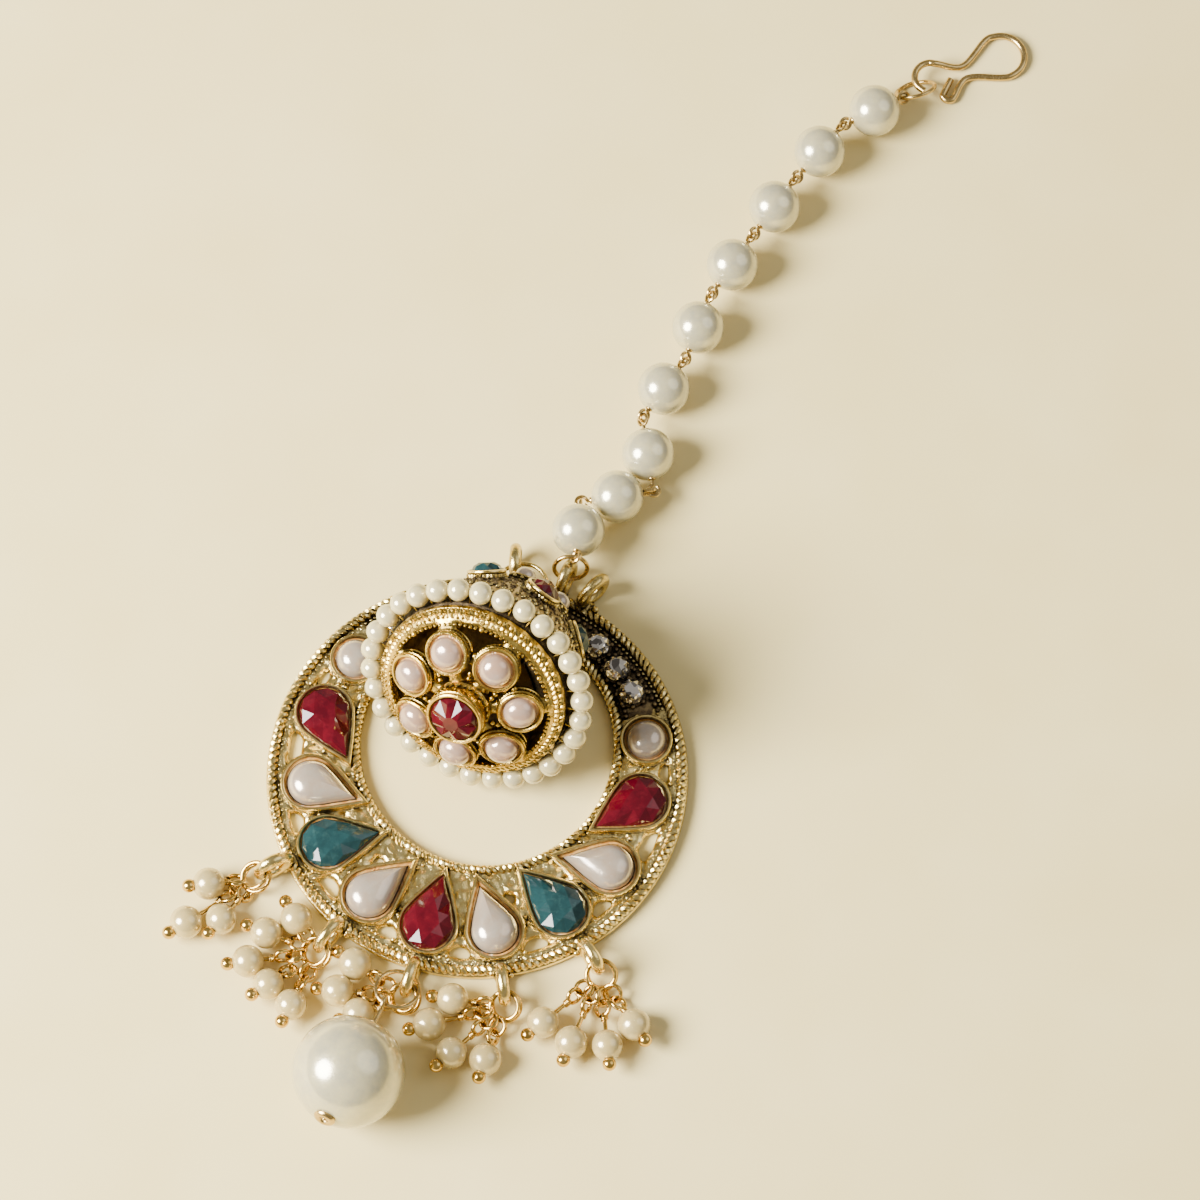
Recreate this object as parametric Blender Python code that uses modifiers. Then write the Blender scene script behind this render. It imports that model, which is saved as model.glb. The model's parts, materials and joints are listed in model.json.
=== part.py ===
"""A maang tikka laid flat: a pearl chain on a bent-wire hook, a pierced crescent plate set with stones,
a bell drop that lies in the crescent's hole, a drop pearl and five clusters of small pearls.

Metres, +Z up. +Y runs along the crescent's axis towards the hook, and the crescent's back lies on Z = 0.
The model is built round the middle of the crescent and then moved so that the middle of its footprint
is the origin.
"""

import math

import bmesh
import bpy
from mathutils import Matrix, Vector

# Crescent plate
CRESCENT_RADIUS = 0.0230
RIM_WIDTH = 0.0018
RIM_HEIGHT = 0.0017
HOLE_RIM_WIDTH = 0.0013
HOLE_RIM_HEIGHT = 0.0015
RIM_BEVEL = 0.0004
BACK_HEIGHT = 0.0009
BRIDGE_WIDTH = 0.0012
BRIDGE_HEIGHT = 0.0011

# Settings of the crescent's stones
TEAR_WIDTH = 0.0066
TEAR_LENGTH = 0.0101
TEAR_INTO_RIM = 0.0002
TEAR_RING_RADIUS = CRESCENT_RADIUS - RIM_WIDTH - TEAR_WIDTH / 2 + TEAR_INTO_RIM
TEAR_SIDE_SHARE = 0.48
TEAR_SIDE_BULGE = 1.06
ROUND_SETTING_WIDTH = 0.0057
ROUND_INTO_RIM = 0.00045
ROUND_RING_RADIUS = CRESCENT_RADIUS - RIM_WIDTH - ROUND_SETTING_WIDTH / 2 + ROUND_INTO_RIM
TIP_GAP = 0.00015
UPPER_BAND_WIDTH = 0.00255
SETTING_HEIGHT = 0.0019
SETTING_WALL = 0.00042
SETTING_FLOOR = 0.0006
STONE_GAP = 0.0003
HOLE_RIM_TOP = CRESCENT_RADIUS - RIM_WIDTH - UPPER_BAND_WIDTH
HOLE_RIM_FOOT = TEAR_RING_RADIUS - TEAR_LENGTH + TEAR_WIDTH / 2 + TIP_GAP
HOLE_RADIUS = (HOLE_RIM_TOP + HOLE_RIM_FOOT) / 2 - HOLE_RIM_WIDTH
HOLE_OFFSET = (HOLE_RIM_TOP - HOLE_RIM_FOOT) / 2
CUT_STONE_HEIGHT = 0.0022
PEARL_STONE_HEIGHT = 0.0025
TABLE_SHARE = 0.52

# Levels of a domed pearl and of a cut stone: share of the height, share of the width
PEARL_LEVELS = (
    (0.0, 1.0),
    (0.35, 1.0),
    (0.75, 0.80),
    (1.0, 0.38),
)
CUT_LEVELS = (
    (0.0, 1.0),
    (0.45, 1.0),
    (1.0, TABLE_SHARE),
)

# Round crystals at the crescent's upper sides, and their levels: share of the height, share of the width
CRYSTAL_WIDTH = 0.0030
CRYSTAL_HEIGHT = 0.0016
CRYSTAL_LEVELS = (
    (0.0, 0.80),
    (0.45, 1.0),
    (1.0, 0.55),
)
UPPER_BACK_MARGIN = 8.0
UPPER_BACK_STEPS = 12

# Cast loops round the crescent
LOOP_WIRE = 0.0013
LOWER_LOOP_RADIUS = 0.0017
UPPER_LOOP_RADIUS = 0.0017
LOWER_LOOP_SPACING = 23.5
NECK_WIDTH = 0.0014

# Bell drop
BELL_TILT = 33.0
BELL_TURN = -6.5
BELL_X = -0.0018
BELL_INSET = 0.0178
BELL_CLEARANCE = 0.00068
BELL_DEPTH = 0.0162
BELL_WALL = 0.0007
BASE_RADIUS = 0.0104
BELL_LIP = 0.0002
BELL_RADIUS = BASE_RADIUS + BELL_LIP
BELL_TOP_SINK = 0.055
BASE_THICKNESS = 0.0007
BASE_RISE = 0.0029
BASE_PLATE_SHARES = (0.0, 0.45, 0.85)
BASE_GAP_RING_SHARE = 0.84
BASE_GAP_SHARE = 0.18
BASE_GAP_STEPS = 6
BASE_PEARL_RING = 0.0061
BASE_PEARL_WIDTH = 0.0037
BASE_PEARL_HEIGHT = 0.0016
BASE_SETTING_WALL = 0.0004
BASE_SETTING_HEIGHT = 0.0012
BASE_SEAT_HEIGHT = 0.00048
BASE_RUBY_WIDTH = 0.0048
BASE_RUBY_HEIGHT = 0.0017
BASE_RUBY_STEM = 0.0018
BASE_STONES = 7
SEED_WIDTH = 0.0024
SEED_CLEARANCE = 0.0004
SEED_RING_RADIUS = BASE_RADIUS + SEED_WIDTH / 2 + SEED_CLEARANCE
SEED_RING_DEPTH = 0.0010
SEED_STEPS = 30
BELL_STONES = 8
BELL_STONE_WIDTH = 0.0040
BELL_STONE_LENGTH = 0.0060
BELL_STONE_HEIGHT = 0.0007
BELL_STONE_SEAT = 0.60
BELL_STONE_GIRDLE = 0.4
BELL_EYE_RADIUS = 0.0011
BELL_EYE_WIRE = 0.0007

# The bell's outline: shares of its radius and depth, from its top to its mouth
BELL_OUTLINE = (
    (0.15, 1.00),
    (0.33, 0.945),
    (0.48, 0.87),
    (0.63, 0.75),
    (0.81, 0.56),
    (0.925, 0.37),
    (1.00, 0.19),
    (0.975, 0.055),
)

# Chain
CHAIN_PEARL_WIDTH = 0.0059
PIN_WIRE = 0.00040
PIN_EYE_RADIUS = 0.00062
PIN_OVERLAP = 0.00028
FOLD_ANGLE = 60.0
FOLD_FLAT_OVERLAP = 0.0001
FOLD_UPRIGHT_OVERLAP = 0.0005
PIN_EYE_SWEEP = 300.0
PIN_EYE_STEPS = 6
BORE_GAP = 0.00015
RING_WIRE = 0.0005

# Hook: an open eye that holds the ring, a wide bow and a short catch, all bent from one wire, with their
# centres from the chain's first joint
HOOK_WIRE = 0.0008
HOOK_EYE = (0.0021, 0.0036)
HOOK_EYE_RADIUS = 0.0019
HOOK_EYE_TURNS = (-100.0, -275.0)
HOOK_EYE_STEPS = 6
HOOK_EYE_RISE = 0.0013
HOOK_BOW = (0.0090, 0.0091)
HOOK_BOW_RADIUS = 0.0027
HOOK_BOW_TURNS = (150.0, -75.0)
HOOK_BOW_STEPS = 8
HOOK_CATCH = (0.00455, 0.0026)
HOOK_CATCH_RADIUS = 0.00065
HOOK_CATCH_TURNS = (0.0, -180.0)
HOOK_CATCH_STEPS = 4
HOOK_RING_INSET = 0.0003

# Bends between them: shares of the radius they are measured in
HOOK_NECK = (-1.45, -0.9)
HOOK_HEEL_ACROSS = 2.2
HOOK_HEEL_BELOW = 1.4
HOOK_TIP = (-0.5, 3.2)

# Drop pearl and pearl clusters
DROP_WIDTH = 0.0120
DROP_CAP_WIDTH = 0.0022
DROP_CAP_HEIGHT = 0.0008
DROP_CAP_TOP_SHARE = 0.6
DROP_EYE_RADIUS = 0.000744
DROP_EYE_STEPS = 8
DROP_STEPS = 14
DROP_BANDS = 7
DROP_RING_LEAN = 0.3
SMALL_PEARL_WIDTH = 0.0035
HEAD_WIDTH = 0.0015
CLUSTER_RING_RADIUS = 0.0016
CLUSTER_RING_WIRE = 0.0005
CLUSTER_PIN_WIRE = 0.00036
CLUSTER_EYE_RADIUS = 0.00062
HEAD_SINK = 0.0003
HEAD_STEPS = 6
HEAD_BANDS = 3
RING_INTO_LOOP = 0.0004
RING_SEAT_APART = 0.0003
FLOOR_GAP = 0.0001
PIECE_GAP = 0.0003

# Facets
WIRE_STEPS = 10
WIRE_SIDES = 5
RIM_STEPS = 40
BEAD_STEPS = 10
BEAD_BANDS = 5
TEAR_STEPS = 8
ROUND_STEPS = 10
BELL_STEPS = 16

MERGE = 0.000005

# Stones on each half of the crescent: name, kind, degrees from the foot of the axis, lean of the tip
TEARS = (
    ("ruby_centre", "cut", 0.0, 0.0),
    ("pearl_tear_low", "pearl", 23.0, 11.8),
    ("green_tear", "cut", 46.8, 14.8),
    ("pearl_tear_high", "pearl", 69.8, 24.4),
    ("ruby_tear", "cut", 96.0, 42.0),
)
ROUND_PEARL_ANGLE = 118.0

# Crystals on each half: degrees from the foot of the axis, distance in from the crescent's edge
CRYSTALS = (
    (135.5, 0.0038),
    (145.0, 0.0036),
    (155.0, 0.0033),
)

# Cast loops at the top of the crescent: name, distance across the axis, turn about the upright
UPPER_LOOPS = (
    ("left", -0.0028, 8.0),
    ("middle", 0.0027, 0.0),
    ("right", 0.0058, -14.0),
)

# Joints of the chain, from the hook to the crescent, chosen where the chain lies: distance across the
# crescent's axis, distance beyond its top edge, height
CHAIN_JOINTS = (
    (0.0232, 0.0687, 0.0026),
    (0.0174, 0.0629, 0.0034),
    (0.0140, 0.0550, 0.0030),
    (0.0113, 0.0468, 0.0030),
    (0.0088, 0.0384, 0.0030),
    (0.0082, 0.0298, 0.0030),
    (0.0056, 0.0218, 0.0030),
    (0.0093, 0.0136, 0.0030),
    (0.0019, 0.0101, 0.0030),
    (0.0036, 0.0025, 0.0055),
)

# Small pearls of each cluster: number of its loop, x and y of each pearl from the foot of that loop
CLUSTERS = (
    (-2, ((-0.00718, -0.00471), (-0.00468, -0.00811), (-0.00818, -0.00951))),
    (-1, ((-0.00723, -0.00281), (-0.00463, -0.00041), (-0.00813, -0.00641),
          (-0.00523, -0.00821), (-0.00223, -0.00971))),
    (0, ((-0.00620, -0.00150), (-0.00710, -0.00490), (-0.00420, -0.00670))),
    (1, ((-0.00417, -0.00421), (-0.00577, -0.00761), (-0.00257, -0.00991), (0.00113, -0.00961))),
    (2, ((-0.00182, -0.00931), (0.00168, -0.01061), (0.00548, -0.00981), (0.00758, -0.00681))),
)

# Drop pearl: middle of the pearl and of its pin's eye, from the crescent's foot
DROP_PLACE = (-0.0027, -0.0142, DROP_WIDTH / 2 + FLOOR_GAP)
DROP_EYE_PLACE = (-0.0016, -0.0054, 0.0040)

# Far sides of the rings at the top, from the crescent's top edge
TOP_RING_FAR = (0.0028, 0.0012, 0.0022)
JHUMKA_RING_FAR = (-0.0029, 0.0012, 0.0023)

GOLD = ("antique_gold", (0.66, 0.50, 0.22), 1.0, 0.34)
BRASS = ("wire_brass", (0.72, 0.52, 0.22), 1.0, 0.28)
IVORY = ("ivory_pearl", (0.87, 0.82, 0.70), 0.0, 0.22)
LILAC = ("lilac_pearl", (0.78, 0.68, 0.66), 0.0, 0.22)
RUBY = ("ruby_glass", (0.30, 0.01, 0.03), 0.0, 0.10)
TEAL = ("teal_glass", (0.03, 0.12, 0.13), 0.0, 0.10)
CRYSTAL = ("smoky_crystal", (0.16, 0.15, 0.15), 0.6, 0.08)


def clear_scene():
    for item in list(bpy.data.objects):
        bpy.data.objects.remove(item, do_unlink=True)


def new_collection(name):
    collection = bpy.data.collections.new(name)
    bpy.context.scene.collection.children.link(collection)
    return collection


def finish_of(kind):
    name, colour, metallic, roughness = kind
    material = bpy.data.materials.get(name)
    if material is None:
        material = bpy.data.materials.new(name)
        material.use_nodes = True
        shader = material.node_tree.nodes["Principled BSDF"]
        shader.inputs["Base Color"].default_value = (*colour, 1.0)
        shader.inputs["Metallic"].default_value = metallic
        shader.inputs["Roughness"].default_value = roughness
        material.diffuse_color = (*colour, 1.0)
    return material


def basis(axis, across):
    """Rotation whose +Z is axis and whose +X is as near to across as it can be."""
    z = Vector(axis).normalized()
    x = Vector(across)
    x = (x - z * x.dot(z)).normalized()
    return Matrix((x, z.cross(x), z)).transposed().to_4x4()


def place(centre, axis=(0, 0, 1), across=(1, 0, 0)):
    return Matrix.Translation(Vector(centre)) @ basis(axis, across)


def object_from(name, bm, matrix=None):
    if matrix is not None:
        bmesh.ops.transform(bm, matrix=matrix, verts=bm.verts)
    bmesh.ops.recalc_face_normals(bm, faces=bm.faces)
    mesh = bpy.data.meshes.new(name)
    bm.to_mesh(mesh)
    bm.free()
    piece = bpy.data.objects.new(name, mesh)
    GUIDES.objects.link(piece)
    return piece


def applied(source, name=None):
    """The evaluated mesh of an object as a new plain mesh object in its place."""
    graph = bpy.context.evaluated_depsgraph_get()
    mesh = bpy.data.meshes.new_from_object(source.evaluated_get(graph), depsgraph=graph)
    result = bpy.data.objects.new(name or source.name, mesh)
    result.matrix_world = source.matrix_world.copy()
    GUIDES.objects.link(result)
    bpy.data.objects.remove(source, do_unlink=True)
    return result


def stacked(name, outline, levels, matrix=None):
    """An outline pulled up through levels of (height, share of the outline), as one closed body."""
    bm = bmesh.new()
    before = levels[0]
    start, share = before
    face = bm.faces.new([bm.verts.new((x * share, y * share, start)) for x, y in outline])
    for height, share in levels[1:]:
        extruded = bmesh.ops.extrude_face_region(bm, geom=[face])
        if before != levels[0]:
            bm.faces.remove(face)
        face = next(item for item in extruded["geom"] if isinstance(item, bmesh.types.BMFace))
        for vert in face.verts:
            vert.co.x *= share / before[1]
            vert.co.y *= share / before[1]
            vert.co.z = height
        before = (height, share)
    return object_from(name, bm, matrix)


def round_outline(width, steps=ROUND_STEPS):
    turn = 2 * math.pi / steps
    return [(width / 2 * math.cos(turn * i), width / 2 * math.sin(turn * i)) for i in range(steps)]


def tear_outline(width, length, steps=TEAR_STEPS):
    """A round body at the origin drawn out to a tip on +Y, its sides a little bulged."""
    radius = width / 2
    tip = length - radius
    open_angle = math.acos(radius / tip)
    first = math.pi / 2 + open_angle
    sweep = 2 * math.pi - 2 * open_angle
    turns = [first + sweep * i / (steps - 1) for i in range(steps)]
    points = [(radius * math.cos(turn), radius * math.sin(turn)) for turn in turns]
    side_x = points[-1][0] * (1 - TEAR_SIDE_SHARE) * TEAR_SIDE_BULGE
    side_y = points[-1][1] * (1 - TEAR_SIDE_SHARE) + tip * TEAR_SIDE_SHARE
    return points + [(side_x, side_y), (0.0, tip), (-side_x, side_y)]


def pocket(name, outline, width, height, wall, floor, matrix):
    """The cutter for a setting's pocket. A tear scaled about its round end keeps its wall even."""
    share = (width / 2 - wall) / (width / 2)
    return stacked(name, outline, ((floor, share), (2 * height, share)), matrix)


def cup(name, outline, width, height, wall, floor, matrix):
    """A round setting standing on its own, its pocket open at the top."""
    share = (width / 2 - wall) / (width / 2)
    return stacked(name, outline, ((0.0, 1.0), (height, 1.0), (height, share), (floor, share)), matrix)


def stone_levels(shape, bottom, height, share):
    return [(bottom + height_share * height, width_share * share) for height_share, width_share in shape]


def stone(name, outline, width, wall, kind, bottom, height, matrix):
    """A stone seated in a cup, cut with a table or domed as a pearl."""
    share = (width / 2 - wall - STONE_GAP) / (width / 2)
    shape = PEARL_LEVELS if kind == "pearl" else CUT_LEVELS
    return stacked(name, outline, stone_levels(shape, bottom, height, share), matrix)


def turned(name, profile, steps, matrix=None, closed=False):
    """A profile of (radius, height), top to bottom down its outer side, turned about Z."""
    mesh = bpy.data.meshes.new(name)
    edges = [(i, i + 1) for i in range(len(profile) - 1)]
    if closed:
        edges.append((len(profile) - 1, 0))
    mesh.from_pydata([(radius, 0.0, height) for radius, height in profile], edges, [])
    source = bpy.data.objects.new(name, mesh)
    GUIDES.objects.link(source)
    screw = source.modifiers.new("Turn", "SCREW")
    screw.steps = steps
    screw.render_steps = steps
    screw.use_merge_vertices = True
    screw.merge_threshold = MERGE
    result = applied(source)
    if matrix is not None:
        result.data.transform(matrix)
    return result


def ring(name, centre, axis, radius, wire, steps=WIRE_STEPS, sides=WIRE_SIDES, across=(1, 0, 0)):
    bpy.ops.mesh.primitive_torus_add(
        major_segments=steps, minor_segments=sides, major_radius=radius, minor_radius=wire / 2)
    made = bpy.context.active_object
    made.data.transform(place(centre, axis, across))
    return settle(made, name)


def ball(name, centre, width, steps, rings, axis=(0, 0, 1)):
    bm = bmesh.new()
    bmesh.ops.create_uvsphere(bm, u_segments=steps, v_segments=rings, radius=width / 2)
    across = (1, 0, 0) if abs(Vector(axis).normalized().x) < 0.9 else (0, 1, 0)
    return object_from(name, bm, place(centre, axis, across))


def bar(name, start, end, width, bottom, height):
    """A square bar between two points in plan."""
    along = Vector((end[0] - start[0], end[1] - start[1], 0.0))
    middle = ((start[0] + end[0]) / 2, (start[1] + end[1]) / 2, bottom + height / 2)
    bm = bmesh.new()
    bmesh.ops.create_cube(bm, size=1.0)
    bmesh.ops.scale(bm, vec=(along.length, width, height), verts=bm.verts)
    return object_from(name, bm, place(middle, (0, 0, 1), along))


def settle(item, name):
    """Gives a freshly added primitive its name and puts it with the guides."""
    item.name = name
    item.data.name = name
    for collection in list(item.users_collection):
        collection.objects.unlink(item)
    GUIDES.objects.link(item)
    return item


def wire(name, points, width, resolution=1):
    """A round wire along points, with closed ends."""
    curve = bpy.data.curves.new(name, "CURVE")
    curve.dimensions = "3D"
    curve.bevel_depth = width / 2
    curve.bevel_resolution = resolution
    curve.use_fill_caps = True
    spline = curve.splines.new("POLY")
    spline.points.add(len(points) - 1)
    for target, point in zip(spline.points, points):
        target.co = (*point, 1.0)
    source = bpy.data.objects.new(name, curve)
    GUIDES.objects.link(source)
    result = applied(source)
    bm = bmesh.new()
    bm.from_mesh(result.data)
    bmesh.ops.remove_doubles(bm, verts=bm.verts, dist=MERGE)
    bmesh.ops.recalc_face_normals(bm, faces=bm.faces)
    bm.to_mesh(result.data)
    bm.free()
    return result


def combined(base, others, operation):
    """The base united with, or cut by, each of the others, which are used up."""
    if not others:
        return base
    for other in others:
        step = base.modifiers.new(other.name, "BOOLEAN")
        step.operation = operation
        step.solver = "EXACT"
        step.object = other
    result = applied(base)
    for other in others:
        bpy.data.objects.remove(other, do_unlink=True)
    return result


def fused(name, pieces):
    result = combined(pieces[0], pieces[1:], "UNION")
    result.name = name
    return result


def finished(name, piece, kind, smooth=30.0):
    """Moves a piece to the part's collection with its own finish."""
    piece.name = name
    piece.data.name = name
    piece.data.materials.clear()
    piece.data.materials.append(finish_of(kind))
    piece.data.shade_smooth()
    piece.data.set_sharp_from_angle(angle=math.radians(smooth))
    GUIDES.objects.unlink(piece)
    PARTS.objects.link(piece)
    piece.parent = ROOT
    return piece


def polar(angle, radius, height=0.0):
    """A point of the crescent: degrees from the foot of its axis, towards +X."""
    turn = math.radians(angle)
    return Vector((radius * math.sin(turn), -radius * math.cos(turn), height))


def tear_matrix(angle, lean, bottom=0.0):
    """A tear's round end sits on its ring and its tip leans from the inward direction."""
    inward = polar(angle + 180.0, 1.0)
    turn = Matrix.Rotation(math.radians(lean), 4, "Z")
    tip = (turn @ inward.to_4d()).to_3d()
    across = Vector((tip.y, -tip.x, 0.0))
    return place(polar(angle, TEAR_RING_RADIUS, bottom), (0, 0, 1), across)


def sides():
    return (("right", 1.0), ("left", -1.0))


def rim_profile(outer, width, height):
    inner = outer - width
    return (
        (outer - RIM_BEVEL, height),
        (outer, height / 2),
        (outer - RIM_BEVEL, 0.0),
        (inner + RIM_BEVEL, 0.0),
        (inner, height / 2),
        (inner + RIM_BEVEL, height),
    )


def upper_back():
    """The flat back of the crescent's upper part, between its two rims."""
    start = ROUND_PEARL_ANGLE + UPPER_BACK_MARGIN
    step = (360.0 - 2 * start) / UPPER_BACK_STEPS
    outer_radius = CRESCENT_RADIUS - RIM_WIDTH / 2
    inner_radius = HOLE_RADIUS + HOLE_RIM_WIDTH / 2
    outer = [polar(start + step * i, outer_radius) for i in range(UPPER_BACK_STEPS + 1)]
    inner = []
    for point in reversed(outer):
        direction = Vector((point.x, point.y - HOLE_OFFSET, 0.0)).normalized()
        inner.append(Vector((0.0, HOLE_OFFSET, 0.0)) + direction * inner_radius)
    outline = [(point.x, point.y) for point in outer + inner]
    return stacked("upper_back", outline, ((0.0, 1.0), (BACK_HEIGHT, 1.0)))


def lower_loop_angle(index):
    return LOWER_LOOP_SPACING * index


def cast_loop(name, foot, outward, turn, radius):
    """A thick loop standing on the rim's edge, with the neck that joins it."""
    spin = Matrix.Rotation(math.radians(turn), 4, "Z")
    reach = (spin @ outward.to_4d()).to_3d()
    centre = foot + outward * (radius - LOOP_WIRE / 2 + NECK_WIDTH / 4)
    centre.z = radius + LOOP_WIRE / 2
    axis = Vector((reach.y, -reach.x, 0.0))
    loop = ring(name, centre, axis, radius, LOOP_WIRE, across=(0, 0, 1))
    start = foot - outward * (RIM_WIDTH / 2)
    end = foot + outward * (NECK_WIDTH / 2 + LOOP_WIRE / 4)
    neck = bar(name + "_neck", start, end, NECK_WIDTH, 0.0, RIM_HEIGHT)
    return [loop, neck]


def upper_loop_foot(across):
    return Vector((across, math.sqrt(CRESCENT_RADIUS ** 2 - across ** 2), 0.0))


def crescent_frame():
    rim = turned("rim", rim_profile(CRESCENT_RADIUS, RIM_WIDTH, RIM_HEIGHT), RIM_STEPS, closed=True)
    hole_rim = turned("hole_rim", rim_profile(HOLE_RADIUS + HOLE_RIM_WIDTH, HOLE_RIM_WIDTH, HOLE_RIM_HEIGHT),
                      RIM_STEPS, Matrix.Translation((0.0, HOLE_OFFSET, 0.0)), closed=True)
    pieces = [rim, hole_rim, upper_back()]
    cutters = []
    outline = tear_outline(TEAR_WIDTH, TEAR_LENGTH)
    round_setting = round_outline(ROUND_SETTING_WIDTH, ROUND_STEPS + 2)
    solid = ((0.0, 1.0), (SETTING_HEIGHT, 1.0))
    for side, sign in sides():
        for name, kind, angle, lean in TEARS:
            if angle == 0.0 and side == "left":
                continue
            matrix = tear_matrix(sign * angle, sign * lean)
            pieces.append(stacked("setting_" + name + side, outline, solid, matrix))
            cutters.append(pocket("pocket_" + name + side, outline, TEAR_WIDTH, SETTING_HEIGHT, SETTING_WALL,
                                  SETTING_FLOOR, matrix))
        matrix = Matrix.Translation(polar(sign * ROUND_PEARL_ANGLE, ROUND_RING_RADIUS))
        pieces.append(stacked("setting_round" + side, round_setting, solid, matrix))
        cutters.append(pocket("pocket_round" + side, round_setting, ROUND_SETTING_WIDTH, SETTING_HEIGHT,
                              SETTING_WALL, SETTING_FLOOR, matrix))
        for near, far in zip(TEARS, TEARS[1:]):
            start = polar(sign * near[2], TEAR_RING_RADIUS)
            end = polar(sign * far[2], TEAR_RING_RADIUS)
            along = (end - start).normalized()
            inset = along * (TEAR_WIDTH / 2 - SETTING_WALL / 2)
            pieces.append(bar("bridge_" + far[0] + side, start + inset, end - inset, BRIDGE_WIDTH, 0.0,
                              BRIDGE_HEIGHT))
        start = polar(sign * TEARS[-1][2], TEAR_RING_RADIUS)
        end = polar(sign * ROUND_PEARL_ANGLE, ROUND_RING_RADIUS)
        along = (end - start).normalized()
        pieces.append(bar("bridge_round" + side, start + along * (TEAR_WIDTH / 2 - SETTING_WALL / 2),
                          end - along * (ROUND_SETTING_WIDTH / 2 - SETTING_WALL / 2), BRIDGE_WIDTH, 0.0,
                          BRIDGE_HEIGHT))
    for index, _ in CLUSTERS:
        outward = polar(lower_loop_angle(index), 1.0)
        pieces += cast_loop("lower_loop", outward * CRESCENT_RADIUS, outward, 0.0, LOWER_LOOP_RADIUS)
    for name, across, turn in UPPER_LOOPS:
        foot = upper_loop_foot(across)
        pieces += cast_loop("upper_loop_" + name, foot, foot.normalized(), turn, UPPER_LOOP_RADIUS)
    casting = combined(fused("crescent_frame", pieces), cutters, "DIFFERENCE")
    return finished("crescent_frame", casting, GOLD)


def crescent_stones():
    outline = tear_outline(TEAR_WIDTH, TEAR_LENGTH)
    bottom = SETTING_FLOOR + STONE_GAP
    for side, sign in sides():
        for name, kind, angle, lean in TEARS:
            if angle == 0.0 and side == "left":
                continue
            label = name if angle == 0.0 else name + "_" + side
            height = PEARL_STONE_HEIGHT if kind == "pearl" else CUT_STONE_HEIGHT
            made = stone(label, outline, TEAR_WIDTH, SETTING_WALL, kind, bottom, height,
                         tear_matrix(sign * angle, sign * lean))
            colour = LILAC if kind == "pearl" else TEAL if name.startswith("green") else RUBY
            finished(label, made, colour)
        label = "round_pearl_" + side
        matrix = Matrix.Translation(polar(sign * ROUND_PEARL_ANGLE, ROUND_RING_RADIUS))
        made = stone(label, round_outline(ROUND_SETTING_WIDTH, ROUND_STEPS + 2), ROUND_SETTING_WIDTH,
                     SETTING_WALL, "pearl", bottom, PEARL_STONE_HEIGHT, matrix)
        finished(label, made, LILAC)
        for number, (angle, inset) in enumerate(CRYSTALS, 1):
            label = "crystal_" + side + "_" + str(number)
            levels = stone_levels(CRYSTAL_LEVELS, BACK_HEIGHT + PIECE_GAP, CRYSTAL_HEIGHT, 1.0)
            made = stacked(label, round_outline(CRYSTAL_WIDTH), levels,
                           Matrix.Translation(polar(sign * angle, CRESCENT_RADIUS - inset)))
            finished(label, made, CRYSTAL)


def bell_matrix():
    """The bell's frame: the middle of its open face, +Z along its axis to its top."""
    tilt = math.radians(BELL_TILT)
    turn = math.radians(BELL_TURN)
    up = Vector((-math.sin(turn) * math.cos(tilt), math.cos(turn) * math.cos(tilt), -math.sin(tilt)))
    rest = max(height * BELL_DEPTH * math.sin(tilt) + radius * BELL_RADIUS * math.cos(tilt)
               for radius, height in BELL_OUTLINE)
    return place((BELL_X, CRESCENT_RADIUS - BELL_INSET, rest + BELL_CLEARANCE), up, (1, 0, 0))


def bell_profile():
    outer = [(BELL_RADIUS * share, BELL_DEPTH * height) for share, height in BELL_OUTLINE]
    inner = [(radius - BELL_WALL, height - BELL_WALL * height / BELL_DEPTH) for radius, height in outer]
    top = (0.0, BELL_DEPTH)
    inner_top = (0.0, BELL_DEPTH * (1 - BELL_TOP_SINK) - BELL_WALL)
    return [top] + outer + list(reversed(inner[1::2])) + [inner_top]


def bell_seat(height_share):
    """Radius of the bell at a share of its depth, and the slope of its side there."""
    for (upper_radius, upper), (lower_radius, lower) in zip(BELL_OUTLINE, BELL_OUTLINE[1:]):
        if upper >= height_share >= lower:
            mix = (upper - height_share) / (upper - lower)
            radius = BELL_RADIUS * (upper_radius + (lower_radius - upper_radius) * mix)
            slope = math.atan2(BELL_DEPTH * (upper - lower), BELL_RADIUS * (lower_radius - upper_radius))
            return radius, slope
    return BELL_RADIUS, math.pi / 2


def on_bell(height_share, angle, sink):
    """Place on the bell's side: +Z out of the surface, +Y up towards its top."""
    radius, slope = bell_seat(height_share)
    turn = math.radians(angle)
    out = Vector((math.cos(turn), math.sin(turn), 0.0))
    normal = out * math.sin(slope) + Vector((0.0, 0.0, math.cos(slope)))
    across = Vector((out.y, -out.x, 0.0))
    centre = out * radius + Vector((0.0, 0.0, BELL_DEPTH * height_share)) - normal * sink
    return place(centre, normal, -across)


def bell_dome():
    matrix = bell_matrix()
    shell = turned("bell_shell", bell_profile(), BELL_STEPS)
    pieces = [shell]
    sink = BELL_WALL / 2
    for index in range(BELL_STONES):
        angle = 360.0 / BELL_STONES * (index + 0.5) + 90.0
        outline = tear_outline(BELL_STONE_WIDTH, BELL_STONE_LENGTH, TEAR_STEPS - 2)
        levels = ((0.0, 1.0), (sink + BELL_STONE_GIRDLE * BELL_STONE_HEIGHT, 1.0),
                  (sink + BELL_STONE_HEIGHT, TABLE_SHARE))
        pieces.append(stacked("bell_stone", outline, levels, on_bell(BELL_STONE_SEAT, angle, sink)))
    eye_centre = (0.0, 0.0, BELL_DEPTH + BELL_EYE_RADIUS)
    pieces.append(ring("bell_eye", eye_centre, (1, 0, 0), BELL_EYE_RADIUS, BELL_EYE_WIRE, across=(0, 0, 1)))
    dome = fused("jhumka_dome", pieces)
    dome.data.transform(matrix)
    return finished("jhumka_dome", dome, GOLD)


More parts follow.
